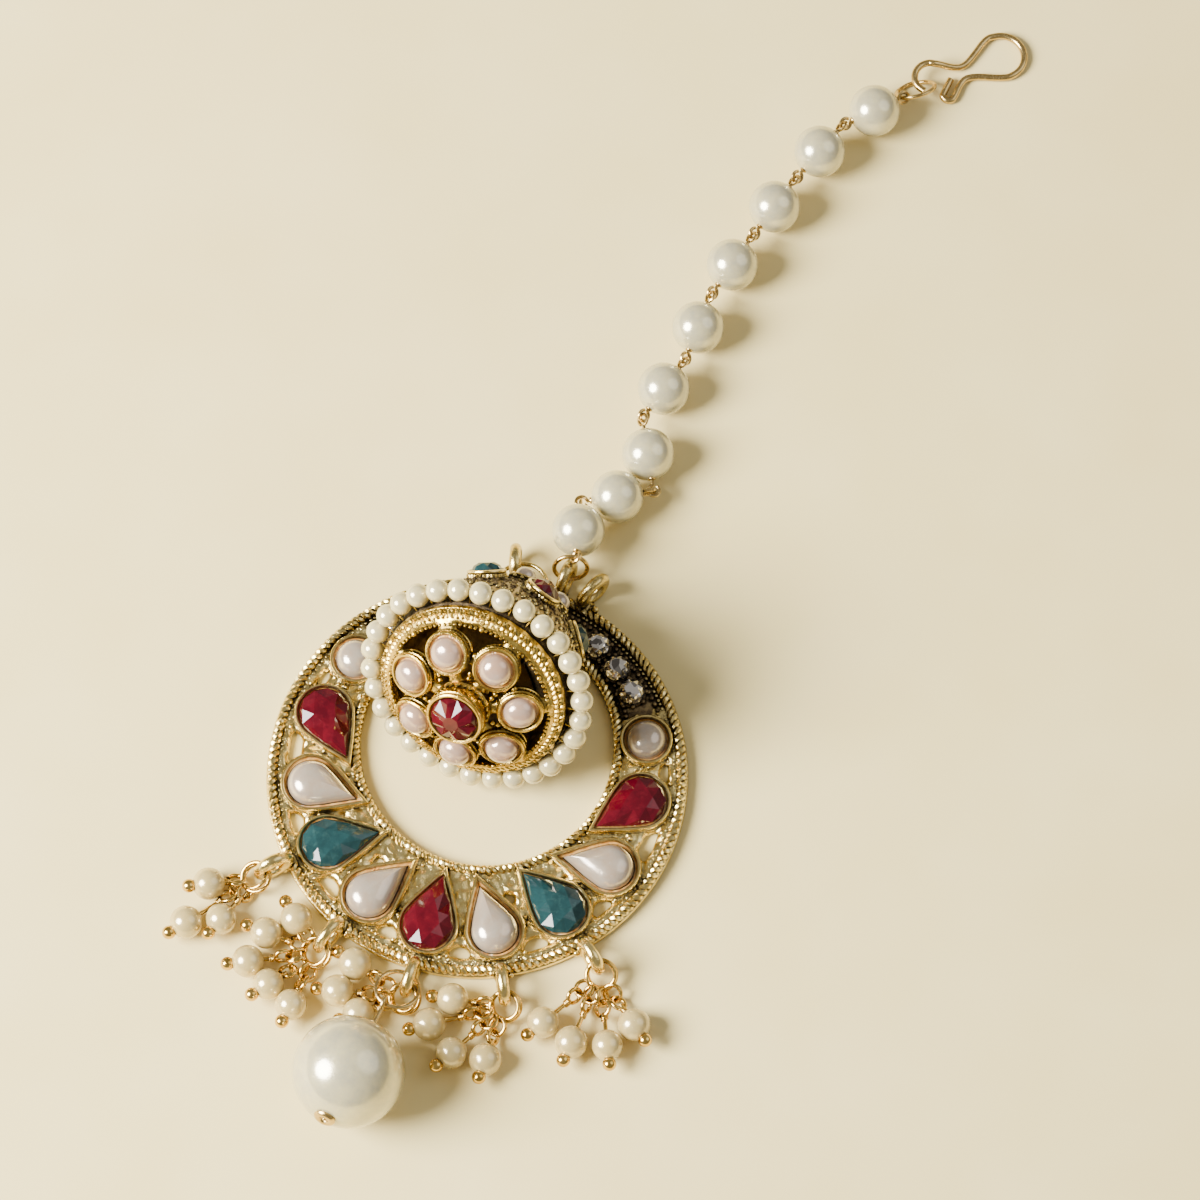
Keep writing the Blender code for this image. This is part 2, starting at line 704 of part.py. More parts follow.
def base_height(radius):
    """Height of the convex underside below the mouth, as a shallow round cap."""
    share = radius / BASE_RADIUS
    return BASE_RISE * (1 - share * share)


def base_place(angle, radius, sink):
    turn = math.radians(angle)
    out = Vector((math.cos(turn), math.sin(turn), 0.0))
    slope = 2 * BASE_RISE * radius / BASE_RADIUS ** 2
    normal = Vector((out.x * slope, out.y * slope, -1.0)).normalized()
    centre = out * radius - Vector((0.0, 0.0, base_height(radius))) - normal * sink
    return place(centre, normal, (out.y, -out.x, 0.0))


def base_pearl_angle(index):
    return 360.0 / BASE_STONES * index + 90.0


def jhumka_base():
    radii = [BASE_RADIUS * share for share in BASE_PLATE_SHARES]
    lower = [(radius, -base_height(radius)) for radius in radii]
    upper = [(radius, height + BASE_THICKNESS) for radius, height in lower]
    rim = [(BASE_RADIUS, BASE_THICKNESS), (BASE_RADIUS, 0.0)]
    profile = upper + rim + list(reversed(lower))
    plate = turned("base_plate", profile, BELL_STEPS)
    cutters = []
    hole_radius = BASE_GAP_RING_SHARE * BASE_RADIUS
    for index in range(BASE_STONES):
        angle = base_pearl_angle(index + 0.5)
        turn = math.radians(angle)
        centre = (hole_radius * math.cos(turn), hole_radius * math.sin(turn), -BASE_RISE)
        outline = round_outline(BASE_GAP_SHARE * BASE_RADIUS, BASE_GAP_STEPS)
        cutters.append(stacked("base_gap", outline, ((0.0, 1.0), (2 * BASE_RISE, 1.0)),
                               Matrix.Translation(centre)))
    plate = combined(plate, cutters, "DIFFERENCE")
    sink = BASE_THICKNESS / 2
    width = BASE_PEARL_WIDTH + 2 * (BASE_SETTING_WALL + STONE_GAP)
    outline = round_outline(width, ROUND_STEPS - 2)
    pieces = [plate]
    for index in range(BASE_STONES):
        seat = base_place(base_pearl_angle(index), BASE_PEARL_RING, sink)
        pieces.append(cup("base_cup", outline, width, sink + BASE_SETTING_HEIGHT, BASE_SETTING_WALL,
                          sink + BASE_SEAT_HEIGHT, seat))
    width = BASE_RUBY_WIDTH + 2 * (BASE_SETTING_WALL + STONE_GAP)
    height = sink + BASE_RUBY_STEM + BASE_SETTING_HEIGHT
    pieces.append(cup("ruby_cup", round_outline(width, ROUND_STEPS + 2), width, height, BASE_SETTING_WALL,
                      sink + BASE_RUBY_STEM, base_place(0.0, 0.0, sink)))
    base = fused("jhumka_base", pieces)
    base.data.transform(bell_matrix())
    return finished("jhumka_base", base, GOLD)


def base_stones():
    matrix = bell_matrix()
    sink = BASE_THICKNESS / 2
    width = BASE_PEARL_WIDTH + 2 * (BASE_SETTING_WALL + STONE_GAP)
    for index in range(BASE_STONES):
        label = "base_pearl_" + str(index + 1)
        seat = base_place(base_pearl_angle(index), BASE_PEARL_RING, sink)
        bottom = sink + BASE_SEAT_HEIGHT + STONE_GAP
        made = stone(label, round_outline(width, ROUND_STEPS - 2), width, BASE_SETTING_WALL, "pearl", bottom,
                     BASE_PEARL_HEIGHT, matrix @ seat)
        finished(label, made, LILAC)
    width = BASE_RUBY_WIDTH + 2 * (BASE_SETTING_WALL + STONE_GAP)
    seat = base_place(0.0, 0.0, sink)
    made = stone("base_ruby", round_outline(width, ROUND_STEPS + 2), width, BASE_SETTING_WALL, "cut",
                 sink + BASE_RUBY_STEM + STONE_GAP, BASE_RUBY_HEIGHT, matrix @ seat)
    finished("base_ruby", made, RUBY)


def seed_pearls():
    made = ring("jhumka_seed_pearls", (0, 0, SEED_RING_DEPTH), (0, 0, 1), SEED_RING_RADIUS, SEED_WIDTH,
                steps=SEED_STEPS, sides=WIRE_SIDES)
    made.data.transform(bell_matrix())
    return finished("jhumka_seed_pearls", made, IVORY)


def eye_points(centre, along, normal, radius, sweep, steps):
    """An open eye that starts on the side away from along and runs round the normal."""
    across = normal.cross(along).normalized()
    points = []
    for i in range(steps + 1):
        turn = math.radians(180.0 + sweep * i / steps)
        points.append(centre + along * radius * math.cos(turn) + across * radius * math.sin(turn))
    return points


def from_top_edge(point):
    return Vector((point[0], CRESCENT_RADIUS + point[1], point[2]))


def from_foot(point):
    return Vector((point[0], point[1] - CRESCENT_RADIUS, point[2]))


def joint_place(joint):
    return from_top_edge(CHAIN_JOINTS[joint])


def link_axis(index):
    return (joint_place(index + 1) - joint_place(index)).normalized()


def joint_folds(joint):
    """Whether the chain doubles back at a joint, so that one eye lies flat and the other stands."""
    if joint in (0, len(CHAIN_JOINTS) - 1):
        return False
    return math.degrees(link_axis(joint - 1).angle(link_axis(joint))) > FOLD_ANGLE


def link_eye(index, at_end):
    """Middle of a link's eye, the direction out of its pearl and the normal of the eye's plane."""
    joint = index + 1 if at_end else index
    along = link_axis(index)
    level = along.cross(Vector((0.0, 0.0, 1.0))).normalized()
    upright = level.cross(along)
    if joint_folds(joint):
        overlap = FOLD_FLAT_OVERLAP if at_end else FOLD_UPRIGHT_OVERLAP
        normal = upright if at_end else level
    else:
        overlap = PIN_OVERLAP
        outermost = joint in (0, len(CHAIN_JOINTS) - 1)
        normal = (level - upright if at_end != outermost else level + upright).normalized()
    out = along if at_end else -along
    return joint_place(joint) - out * overlap, out, normal


def chain():
    for index in range(len(CHAIN_JOINTS) - 1):
        first = eye_points(*link_eye(index, False), PIN_EYE_RADIUS, PIN_EYE_SWEEP, PIN_EYE_STEPS)
        last = eye_points(*link_eye(index, True), PIN_EYE_RADIUS, PIN_EYE_SWEEP, PIN_EYE_STEPS)
        number = str(index + 1)
        pin = wire("chain_pin_" + number, list(reversed(first)) + last, PIN_WIRE)
        finished("chain_pin_" + number, pin, BRASS)
        middle = (joint_place(index) + joint_place(index + 1)) / 2
        pearl = drilled_pearl("chain_pearl_" + number, middle, link_axis(index), CHAIN_PEARL_WIDTH,
                              PIN_WIRE + 2 * BORE_GAP, BEAD_STEPS, BEAD_BANDS)
        finished("chain_pearl_" + number, pearl, IVORY)


def drilled_pearl(name, centre, axis, width, bore, steps, bands):
    """A ball with a straight bore through it."""
    radius = width / 2
    edge = math.asin(bore / 2 / radius)
    angles = [edge + (math.pi - 2 * edge) * i / bands for i in range(bands + 1)]
    profile = [(radius * math.sin(angle), radius * math.cos(angle)) for angle in angles]
    across = (1, 0, 0) if abs(Vector(axis).normalized().x) < 0.9 else (0, 1, 0)
    return turned(name, profile, steps, place(centre, axis, across), closed=True)


def ring_between(name, near, far, facing, width, kind):
    """A jump ring whose wire passes through two points and whose plane faces a direction."""
    near = Vector(near)
    far = Vector(far)
    chord = far - near
    axis = Vector(facing)
    axis -= chord * (axis.dot(chord) / chord.length_squared)
    made = ring(name, (near + far) / 2, axis, chord.length / 2, width, across=chord)
    return finished(name, made, kind)


def arc(centre, radius, between, steps, height):
    start, end = between
    points = []
    for i in range(steps + 1):
        turn = math.radians(start + (end - start) * i / steps)
        points.append(Vector((centre.x + radius * math.cos(turn), centre.y + radius * math.sin(turn), height)))
    return points


def hair_hook():
    low = HOOK_WIRE / 2 + FLOOR_GAP
    start = joint_place(0)
    eye_centre, bow_centre, catch_centre = (Vector((start.x + x, start.y + y, low))
                                            for x, y in (HOOK_EYE, HOOK_BOW, HOOK_CATCH))
    eye = arc(eye_centre, HOOK_EYE_RADIUS, HOOK_EYE_TURNS, HOOK_EYE_STEPS, low + HOOK_EYE_RISE)
    bow = arc(bow_centre, HOOK_BOW_RADIUS, HOOK_BOW_TURNS, HOOK_BOW_STEPS, low)
    catch = arc(catch_centre, HOOK_CATCH_RADIUS, HOOK_CATCH_TURNS, HOOK_CATCH_STEPS, low)
    neck = bow_centre + HOOK_BOW_RADIUS * Vector((*HOOK_NECK, 0.0))
    heel = Vector((catch_centre.x + HOOK_HEEL_ACROSS * HOOK_CATCH_RADIUS,
                   bow_centre.y - HOOK_HEEL_BELOW * HOOK_BOW_RADIUS, low))
    tip = catch_centre + HOOK_CATCH_RADIUS * Vector((*HOOK_TIP, 0.0))
    hook = wire("hair_hook", eye + [neck] + bow + [heel] + catch + [tip], HOOK_WIRE)
    return finished("hair_hook", hook, BRASS)


def ring_in_eye(name, index, at_end, far, width, kind):
    """A jump ring that runs square through the eye of a chain pin and on to a second point."""
    near, _, normal = link_eye(index, at_end)
    return ring_between(name, near, far, (Vector(far) - near).cross(normal), width, kind)


def connecting_rings():
    start = joint_place(0)
    hook_side = (start.x + HOOK_EYE[0] - HOOK_RING_INSET, start.y + HOOK_EYE[1] - HOOK_RING_INSET / 2,
                 RING_WIRE / 2 + HOOK_WIRE)
    ring_in_eye("hook_ring", 0, False, hook_side, RING_WIRE, BRASS)
    ring_in_eye("top_ring", len(CHAIN_JOINTS) - 2, True, from_top_edge(TOP_RING_FAR), RING_WIRE, BRASS)
    eye = bell_matrix() @ Vector((0.0, 0.0, BELL_DEPTH + BELL_EYE_RADIUS))
    ring_between("jhumka_ring", eye, from_top_edge(JHUMKA_RING_FAR), (0.0, 0.0, 1.0), RING_WIRE, GOLD)


def cluster_ring(index):
    """Middle, plane normal and slope of the ring that hangs from a lower loop down to the floor."""
    outward = polar(lower_loop_angle(index), 1.0)
    near = outward * (CRESCENT_RADIUS + LOWER_LOOP_RADIUS + RING_INTO_LOOP)
    near.z = LOWER_LOOP_RADIUS + LOOP_WIRE / 2 - RING_SEAT_APART
    low = CLUSTER_EYE_RADIUS + CLUSTER_PIN_WIRE / 2 + FLOOR_GAP
    fall = near.z - low
    run = math.sqrt((2 * CLUSTER_RING_RADIUS) ** 2 - fall ** 2)
    chord = (outward * run - Vector((0.0, 0.0, fall))).normalized()
    axis = Vector((0.0, 0.0, 1.0))
    axis = (axis - chord * axis.dot(chord)).normalized()
    return near + chord * CLUSTER_RING_RADIUS, axis, chord


def cluster(number, index, places):
    middle, axis, chord = cluster_ring(index)
    foot = polar(lower_loop_angle(index), CRESCENT_RADIUS)
    pieces = [ring("cluster_ring", middle, axis, CLUSTER_RING_RADIUS, CLUSTER_RING_WIRE, across=chord)]
    lying = SMALL_PEARL_WIDTH / 2 + FLOOR_GAP
    for x, y in places:
        pearl = foot + Vector((x, y, lying))
        toward = pearl - middle
        toward -= axis * toward.dot(axis)
        seat = middle + toward.normalized() * CLUSTER_RING_RADIUS
        along = (pearl - seat).normalized()
        head = pearl + along * ((SMALL_PEARL_WIDTH + HEAD_WIDTH) / 2 - HEAD_SINK)
        socket = pearl - along * (SMALL_PEARL_WIDTH / 2 - HEAD_SINK)
        pieces.append(wire("cluster_pin", [seat, socket], CLUSTER_PIN_WIRE))
        pieces.append(ball("cluster_pearl", pearl, SMALL_PEARL_WIDTH, BEAD_STEPS, BEAD_BANDS, along))
        pieces.append(ball("cluster_head", head, HEAD_WIDTH, HEAD_STEPS, HEAD_BANDS, along))
    name = "pearl_cluster_" + str(number)
    return finished(name, fused(name, pieces), IVORY)


def drop():
    pearl_place = from_foot(DROP_PLACE)
    eye = from_foot(DROP_EYE_PLACE)
    along = (pearl_place - eye).normalized()
    pearl = drilled_pearl("drop_pearl", pearl_place, along, DROP_WIDTH, HOOK_WIRE + 2 * BORE_GAP, DROP_STEPS,
                          DROP_BANDS)
    finished("drop_pearl", pearl, IVORY)
    normal = along.cross(Vector((0.0, 0.0, 1.0))).normalized()
    points = eye_points(eye, -along, normal, DROP_EYE_RADIUS, PIN_EYE_SWEEP, DROP_EYE_STEPS)
    foot = pearl_place + along * (DROP_WIDTH / 2 + PIECE_GAP)
    pin = wire("drop_pin", list(reversed(points)) + [foot + along * DROP_CAP_HEIGHT / 2], RING_WIRE)
    radius = DROP_CAP_WIDTH / 2
    profile = ((0.0, 0.0), (radius, 0.0), (radius, -DROP_CAP_HEIGHT / 2),
               (DROP_CAP_TOP_SHARE * radius, -DROP_CAP_HEIGHT), (0.0, -DROP_CAP_HEIGHT))
    cap = turned("drop_cap", profile, BEAD_STEPS, place(foot, -along, (1, 0, 0)))
    finished("drop_pin", fused("drop_pin", [pin, cap]), BRASS)
    near = (0.0, RING_INTO_LOOP - CRESCENT_RADIUS - LOWER_LOOP_RADIUS,
            LOWER_LOOP_RADIUS + LOOP_WIRE / 2 + RING_SEAT_APART)
    ring_between("drop_ring", near, eye, (0.0, DROP_RING_LEAN, 1.0), RING_WIRE, BRASS)


def centre_footprint():
    """Moves the whole part so that the middle of its box in plan is the origin."""
    bpy.context.view_layer.update()
    corners = [item.matrix_world @ vert.co for item in PARTS.objects if item.type == "MESH"
               for vert in item.data.vertices]
    low_x = min(point.x for point in corners)
    high_x = max(point.x for point in corners)
    low_y = min(point.y for point in corners)
    high_y = max(point.y for point in corners)
    ROOT.location = (-(low_x + high_x) / 2, -(low_y + high_y) / 2, 0.0)


clear_scene()
PARTS = new_collection("maang_tikka")
GUIDES = new_collection("guides")
ROOT = bpy.data.objects.new("tikka", None)
PARTS.objects.link(ROOT)

crescent_frame()
crescent_stones()
bell_dome()
jhumka_base()
base_stones()
seed_pearls()
chain()
hair_hook()
connecting_rings()
drop()
for place_number, (loop_index, pearl_places) in enumerate(CLUSTERS, 1):
    cluster(place_number, loop_index, pearl_places)
centre_footprint()
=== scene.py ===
import json
import math
from functools import partial

import bmesh
import bpy
import numpy as np
from mathutils import Matrix, Vector


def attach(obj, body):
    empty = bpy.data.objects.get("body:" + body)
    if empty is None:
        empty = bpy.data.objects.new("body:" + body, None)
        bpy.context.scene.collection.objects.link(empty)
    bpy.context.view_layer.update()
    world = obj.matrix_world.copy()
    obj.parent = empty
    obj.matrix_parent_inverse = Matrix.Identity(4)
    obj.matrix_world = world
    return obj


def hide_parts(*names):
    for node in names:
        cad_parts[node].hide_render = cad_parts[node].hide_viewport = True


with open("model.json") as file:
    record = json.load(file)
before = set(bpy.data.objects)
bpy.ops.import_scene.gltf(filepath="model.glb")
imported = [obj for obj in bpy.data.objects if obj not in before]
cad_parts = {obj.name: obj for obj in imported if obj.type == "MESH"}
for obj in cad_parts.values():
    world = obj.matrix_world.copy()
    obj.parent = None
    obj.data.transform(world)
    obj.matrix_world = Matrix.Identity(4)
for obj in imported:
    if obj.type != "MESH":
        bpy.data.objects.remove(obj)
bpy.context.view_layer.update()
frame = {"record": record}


# Everything below is in millimetres round the middle of the crescent, with the crescent's back on z = 0.
MM = 0.001
REST = next(mount for mount in frame["record"]["mounts"] if mount["name"] == "rest")["pos_m"]
TEAR_RING_RADIUS = 18.1
SHIFT = np.array((REST[0], REST[1] + TEAR_RING_RADIUS * MM, 0.0))

# Crescent, as in the solids
CRESCENT_RADIUS = 23.0
HOLE_RADIUS = 13.75
HOLE_OFFSET = 3.6
HOLE_RIM_WIDTH = 1.3
BACK_HEIGHT = 0.9
TEAR_WIDTH = 6.6
TEAR_LENGTH = 10.1
ROUND_SETTING_WIDTH = 5.7
ROUND_RING_RADIUS = 18.8
SETTING_HEIGHT = 1.95
SETTING_WALL = 0.42
STONE_BOTTOM = 0.9
LOOP_WIRE = 1.3
LOWER_LOOP_RADIUS = 1.7
UPPER_LOOP_RADIUS = 1.7
LOWER_LOOP_SPACING = 23.5
CRYSTAL_WIDTH = 3.0
CRYSTAL_LOW = 1.2
ROUND_PEARL_ANGLE = 118.0

# Tears of each half: name, kind, degrees from the foot of the axis, lean of the tip
TEARS = (
    ("ruby_centre", "cut", 0.0, 0.0),
    ("pearl_tear_low", "pearl", 23.0, 11.8),
    ("green_tear", "cut", 46.8, 14.8),
    ("pearl_tear_high", "pearl", 69.8, 24.4),
    ("ruby_tear", "cut", 96.0, 42.0),
)
CRYSTALS = ((135.5, 19.2), (145.0, 19.4), (155.0, 19.7))
UPPER_LOOPS = (("left", -2.8, 8.0), ("middle", 2.7, 0.0), ("right", 5.8, -14.0))

# Bell, as in the solids
BELL_TILT = 33.0
BELL_TURN = -6.5
BELL_PLACE = (-1.8, 5.2, 12.9)
BELL_DEPTH = 16.2
BELL_RADIUS = 10.6
BELL_WALL = 0.7
BELL_OUTLINE = ((0.15, 1.00), (0.33, 0.945), (0.48, 0.87), (0.63, 0.75), (0.81, 0.56), (0.925, 0.37),
                (1.00, 0.19), (0.975, 0.055))
BASE_RADIUS = 10.4
BASE_RISE = 2.9
BASE_PEARL_RING = 6.1
BASE_STONES = 7
SEED_RING_RADIUS = 12.0
SEED_WIDTH = 2.4
SEED_RING_DEPTH = 1.0
SEEDS = 30
BELL_EYE_RADIUS = 1.1
BELL_EYE_WIRE = 0.7

# Chain, as in the solids
CHAIN_PEARL_WIDTH = 5.9
PIN_WIRE = 0.40
PIN_EYE_RADIUS = 0.62
PIN_OVERLAP = 0.28
FOLD_ANGLE = 60.0
FOLD_FLAT_OVERLAP = 0.1
FOLD_UPRIGHT_OVERLAP = 0.5
RING_WIRE = 0.5
HOOK_WIRE = 0.8
CHAIN_JOINTS = (
    (23.2, 91.7, 2.6), (17.4, 85.9, 3.4), (14.0, 78.0, 3.0), (11.3, 69.8, 3.0), (8.8, 61.4, 3.0),
    (8.2, 52.8, 3.0), (5.6, 44.8, 3.0), (9.3, 36.6, 3.0), (1.9, 33.1, 3.0), (3.6, 25.5, 5.5),
)
TOP_RING_FAR = (2.8, 24.2, 2.2)
HOOK_RING_FAR = (25.0, 95.1, 0.9)
JHUMKA_RING_FAR = (-2.9, 24.2, 2.3)

# Drop and clusters, as in the solids
FLOOR_GAP = 0.1
DROP_WIDTH = 12.0
DROP_PLACE = (-2.7, -37.2, DROP_WIDTH / 2 + FLOOR_GAP)
DROP_EYE_PLACE = (-1.6, -28.4, 4.0)
SMALL_PEARL_WIDTH = 3.5
HEAD_WIDTH = 1.5
CLUSTER_RING_RADIUS = 1.6
CLUSTER_RING_WIRE = 0.5
CLUSTER_PIN_WIRE = 0.36
CLUSTER_EYE_RADIUS = 0.62
FRINGE_EYE_RADIUS = 0.84
FRINGE_WIRE = 0.48
LINK_RADIUS = 0.95
CLUSTERS = (
    (-2, ((-24.0, -20.4), (-21.5, -23.8), (-25.0, -25.2))),
    (-1, ((-16.4, -23.9), (-13.8, -21.5), (-17.3, -27.5), (-14.4, -29.3), (-11.4, -30.8))),
    (0, ((-6.2, -24.5), (-7.1, -27.9), (-4.2, -29.7))),
    (1, ((5.0, -25.3), (3.4, -28.7), (6.6, -31.0), (10.3, -30.7))),
    (2, ((15.0, -25.0), (18.5, -26.3), (22.3, -25.5), (24.4, -22.5))),
)

RANDOM = np.random.default_rng(11)


def uneven(low, high):
    return float(RANDOM.uniform(low, high))


# Materials

AGED_FROM = 4.0
AGED_UP_TO = 22.0
PATINA_WAVER = 0.16
PATINA_DULLNESS = 0.22


def node(tree, kind, **values):
    made = tree.nodes.new(kind)
    for key, value in values.items():
        if key in made.inputs:
            made.inputs[key].default_value = value
        else:
            setattr(made, key, value)
    return made


def base_material(name):
    """A new material with coordinates in millimetres."""
    material = bpy.data.materials.new(name)
    material.use_nodes = True
    tree = material.node_tree
    shader = tree.nodes["Principled BSDF"]
    coords = node(tree, "ShaderNodeTexCoord")
    scale = node(tree, "ShaderNodeVectorMath", operation="SCALE")
    scale.inputs["Scale"].default_value = 1.0 / MM
    tree.links.new(coords.outputs["Object"], scale.inputs[0])
    return material, tree, shader, scale.outputs[0]


def preset(shader, **values):
    for name, value in values.items():
        shader.inputs[name.replace("_", " ")].default_value = value


def noise(tree, coords, scale, detail=3.0, roughness=0.6):
    made = node(tree, "ShaderNodeTexNoise", Scale=scale, Detail=detail, Roughness=roughness)
    tree.links.new(coords, made.inputs["Vector"])
    return made.outputs["Fac"]


def spread(tree, value, low, high, to_low=0.0, to_high=1.0):
    made = node(tree, "ShaderNodeMapRange")
    made.clamp = True
    for key, number in (("From Min", low), ("From Max", high), ("To Min", to_low), ("To Max", to_high)):
        made.inputs[key].default_value = number
    tree.links.new(value, made.inputs["Value"])
    return made.outputs["Result"]


def blended(tree, factor, first, second):
    made = tree.nodes.new("ShaderNodeMix")
    made.data_type = "RGBA"
    tree.links.new(factor, made.inputs[0])
    for socket, colour in ((made.inputs[6], first), (made.inputs[7], second)):
        if isinstance(colour, tuple):
            socket.default_value = (*colour, 1.0)
        else:
            tree.links.new(colour, socket)
    return made.outputs[2]


def clouded(tree, value, low, high, first, second, least=0.0, most=1.0):
    """The first colour where the value is low, turning to the second where it is high."""
    return blended(tree, spread(tree, value, low, high, least, most), first, second)


def maths(tree, operation, first, second):
    made = node(tree, "ShaderNodeMath", operation=operation)
    tree.links.new(first, made.inputs[0])
    tree.links.new(second, made.inputs[1])
    return made.outputs[0]


def bumped(tree, shader, height, strength, distance):
    made = node(tree, "ShaderNodeBump", Strength=strength, Distance=distance * MM)
    tree.links.new(height, made.inputs["Height"])
    tree.links.new(made.outputs["Normal"], shader.inputs["Normal"])


def gold_material(name, gold, deep, patina, dark_reach, roughness, bump, cover, aged=0.0):
    """Plated metal: two golds mottled together, with dark patina where its surface is closed in.

    Aged metal has more patina towards the top of the crescent."""
    material, tree, shader, coords = base_material(name)
    preset(shader, Metallic=1.0)
    mottle = noise(tree, coords, 1.1, 4.0)
    fine = noise(tree, coords, 7.0, 3.0)
    shade = clouded(tree, mottle, 0.35, 0.65, gold, deep)
    closed = node(tree, "ShaderNodeAmbientOcclusion", samples=6, Distance=dark_reach * MM)
    waver = spread(tree, fine, 0.3, 0.7, -PATINA_WAVER, PATINA_WAVER)
    open_share = maths(tree, "ADD", closed.outputs["AO"], waver)
    if aged:
        apart = node(tree, "ShaderNodeSeparateXYZ")
        tree.links.new(coords, apart.inputs[0])
        middle_y = float(SHIFT[1]) / MM
        age = spread(tree, apart.outputs["Y"], middle_y + AGED_FROM, middle_y + AGED_UP_TO, 0.0, aged)
        open_share = maths(tree, "SUBTRACT", open_share, age)
    worn = spread(tree, open_share, *cover)
    tree.links.new(blended(tree, worn, patina, shade), shader.inputs["Base Color"])
    rough = spread(tree, fine, 0.3, 0.7, *roughness)
    dull = spread(tree, worn, 0.0, 1.0, PATINA_DULLNESS, 0.0)
    tree.links.new(maths(tree, "ADD", rough, dull), shader.inputs["Roughness"])
    bumped(tree, shader, noise(tree, coords, 5.5, 4.0), bump, 0.06)
    return material


def pearl_material(name, pale, warm, spots, roughness, crinkle, lustre):
    """Nacre: two creams clouded together, part mirror-like, with faint crinkles."""
    material, tree, shader, coords = base_material(name)
    cloud = noise(tree, coords, 0.7, 3.0)
    colour = clouded(tree, cloud, 0.3, 0.7, pale, warm, 0.05, 0.60)
    grain = noise(tree, coords, 4.0, 4.0)
    colour = clouded(tree, grain, 0.58, 0.80, colour, spots, 0.0, 0.40)
    tree.links.new(colour, shader.inputs["Base Color"])
    tree.links.new(spread(tree, grain, 0.3, 0.7, *roughness), shader.inputs["Roughness"])
    preset(shader, Metallic=lustre, Coat_Weight=0.9, Coat_Roughness=0.13, Coat_IOR=1.8)
    preset(shader, Subsurface_Weight=0.15, Subsurface_Radius=(1.0, 0.8, 0.5), Subsurface_Scale=0.6 * MM)
    bumped(tree, shader, noise(tree, coords, 1.5, 5.0, 0.65), crinkle, 0.12)
    return material


def glass_material(name, colour, deep, edge):
    """Opaque cut glass: cloudy colour with paler wisps under a sharp gloss."""
    material, tree, shader, coords = base_material(name)
    cloud = noise(tree, coords, 0.5, 3.0)
    shade = clouded(tree, cloud, 0.38, 0.62, colour, deep)
    wisps = noise(tree, coords, 1.4, 4.0)
    shade = clouded(tree, wisps, 0.52, 0.75, shade, edge, 0.0, 0.4)
    tree.links.new(shade, shader.inputs["Base Color"])
    scuffs = noise(tree, coords, 9.0, 4.0)
    tree.links.new(spread(tree, scuffs, 0.5, 0.75, 0.04, 0.10), shader.inputs["Roughness"])
    preset(shader, IOR=1.50, Specular_IOR_Level=0.28, Coat_Weight=0.22, Coat_Roughness=0.03)
    bumped(tree, shader, noise(tree, coords, 1.8, 2.0), 0.05, 0.05)
    return material


def crystal_material():
    """Foil-backed crystal: a mirror whose colour has bright and dark patches, which are painted sparkle and
    painted dark reflections of its facets.
    """
    material, tree, shader, coords = base_material("mirrored_crystal_painted_sparkle")
    cell = node(tree, "ShaderNodeTexVoronoi", Scale=1.7)
    tree.links.new(coords, cell.inputs["Vector"])
    # Painted sparkle: the bright and dark patches of colour stand in for facets that catch or miss the
    # light.
    colour = clouded(tree, cell.outputs["Color"], 0.35, 0.65, (0.92, 0.87, 0.80), (0.13, 0.115, 0.10))
    tree.links.new(colour, shader.inputs["Base Color"])
    tree.links.new(spread(tree, noise(tree, coords, 6.0), 0.4, 0.7, 0.03, 0.12), shader.inputs["Roughness"])
    preset(shader, Metallic=0.9, Coat_Weight=1.0)
    bumped(tree, shader, cell.outputs["Distance"], 0.35, 0.25)
    return material


def glue_material():
    """Amber glue, unevenly cloudy."""
    material, tree, shader, coords = base_material("amber_glue")
    cloud = noise(tree, coords, 1.3, 4.0)
    colour = clouded(tree, cloud, 0.35, 0.65, (0.40, 0.165, 0.03), (0.58, 0.34, 0.10))
    tree.links.new(colour, shader.inputs["Base Color"])
    tree.links.new(spread(tree, cloud, 0.3, 0.7, 0.18, 0.4), shader.inputs["Roughness"])
    preset(shader, Subsurface_Weight=0.2, Subsurface_Scale=0.4 * MM)
    bumped(tree, shader, noise(tree, coords, 3.0, 3.0), 0.3, 0.1)
    return material


GOLD = gold_material("pale_antique_gold", gold=(0.98, 0.80, 0.34), deep=(0.78, 0.57, 0.18),
                     patina=(0.050, 0.032, 0.012), dark_reach=0.8, roughness=(0.09, 0.22), bump=0.50,
                     cover=(0.36, 0.74), aged=0.36)
BRIGHT = gold_material("bright_base_gold", gold=(0.84, 0.60, 0.15), deep=(0.60, 0.39, 0.07),
                       patina=(0.042, 0.024, 0.007), dark_reach=0.8, roughness=(0.10, 0.24), bump=0.44,
                       cover=(0.48, 0.86))
DARK = gold_material("dark_patina_metal", gold=(0.36, 0.26, 0.12), deep=(0.12, 0.08, 0.045),
                     patina=(0.014, 0.010, 0.007), dark_reach=1.2, roughness=(0.26, 0.48), bump=0.50,
                     cover=(0.42, 0.86))
BRASS = gold_material("drawn_brass_wire", gold=(0.68, 0.49, 0.20), deep=(0.52, 0.36, 0.13),
                      patina=(0.07, 0.045, 0.02), dark_reach=0.5, roughness=(0.16, 0.30), bump=0.12,
                      cover=(0.24, 0.58))
ORANGE = gold_material("fringe_wire_gold", gold=(0.84, 0.57, 0.17), deep=(0.56, 0.34, 0.07),
                       patina=(0.10, 0.045, 0.012), dark_reach=0.6, roughness=(0.10, 0.22), bump=0.10,
                       cover=(0.34, 0.74))
IVORY = pearl_material("ivory_nacre", pale=(0.46, 0.425, 0.285), warm=(0.74, 0.645, 0.33),
                       spots=(0.62, 0.57, 0.40), roughness=(0.15, 0.27), crinkle=0.17, lustre=0.36)
CREAM = pearl_material("cream_seed_nacre", pale=(0.48, 0.375, 0.16), warm=(0.70, 0.505, 0.16),
                       spots=(0.64, 0.52, 0.26), roughness=(0.15, 0.28), crinkle=0.22, lustre=0.24)
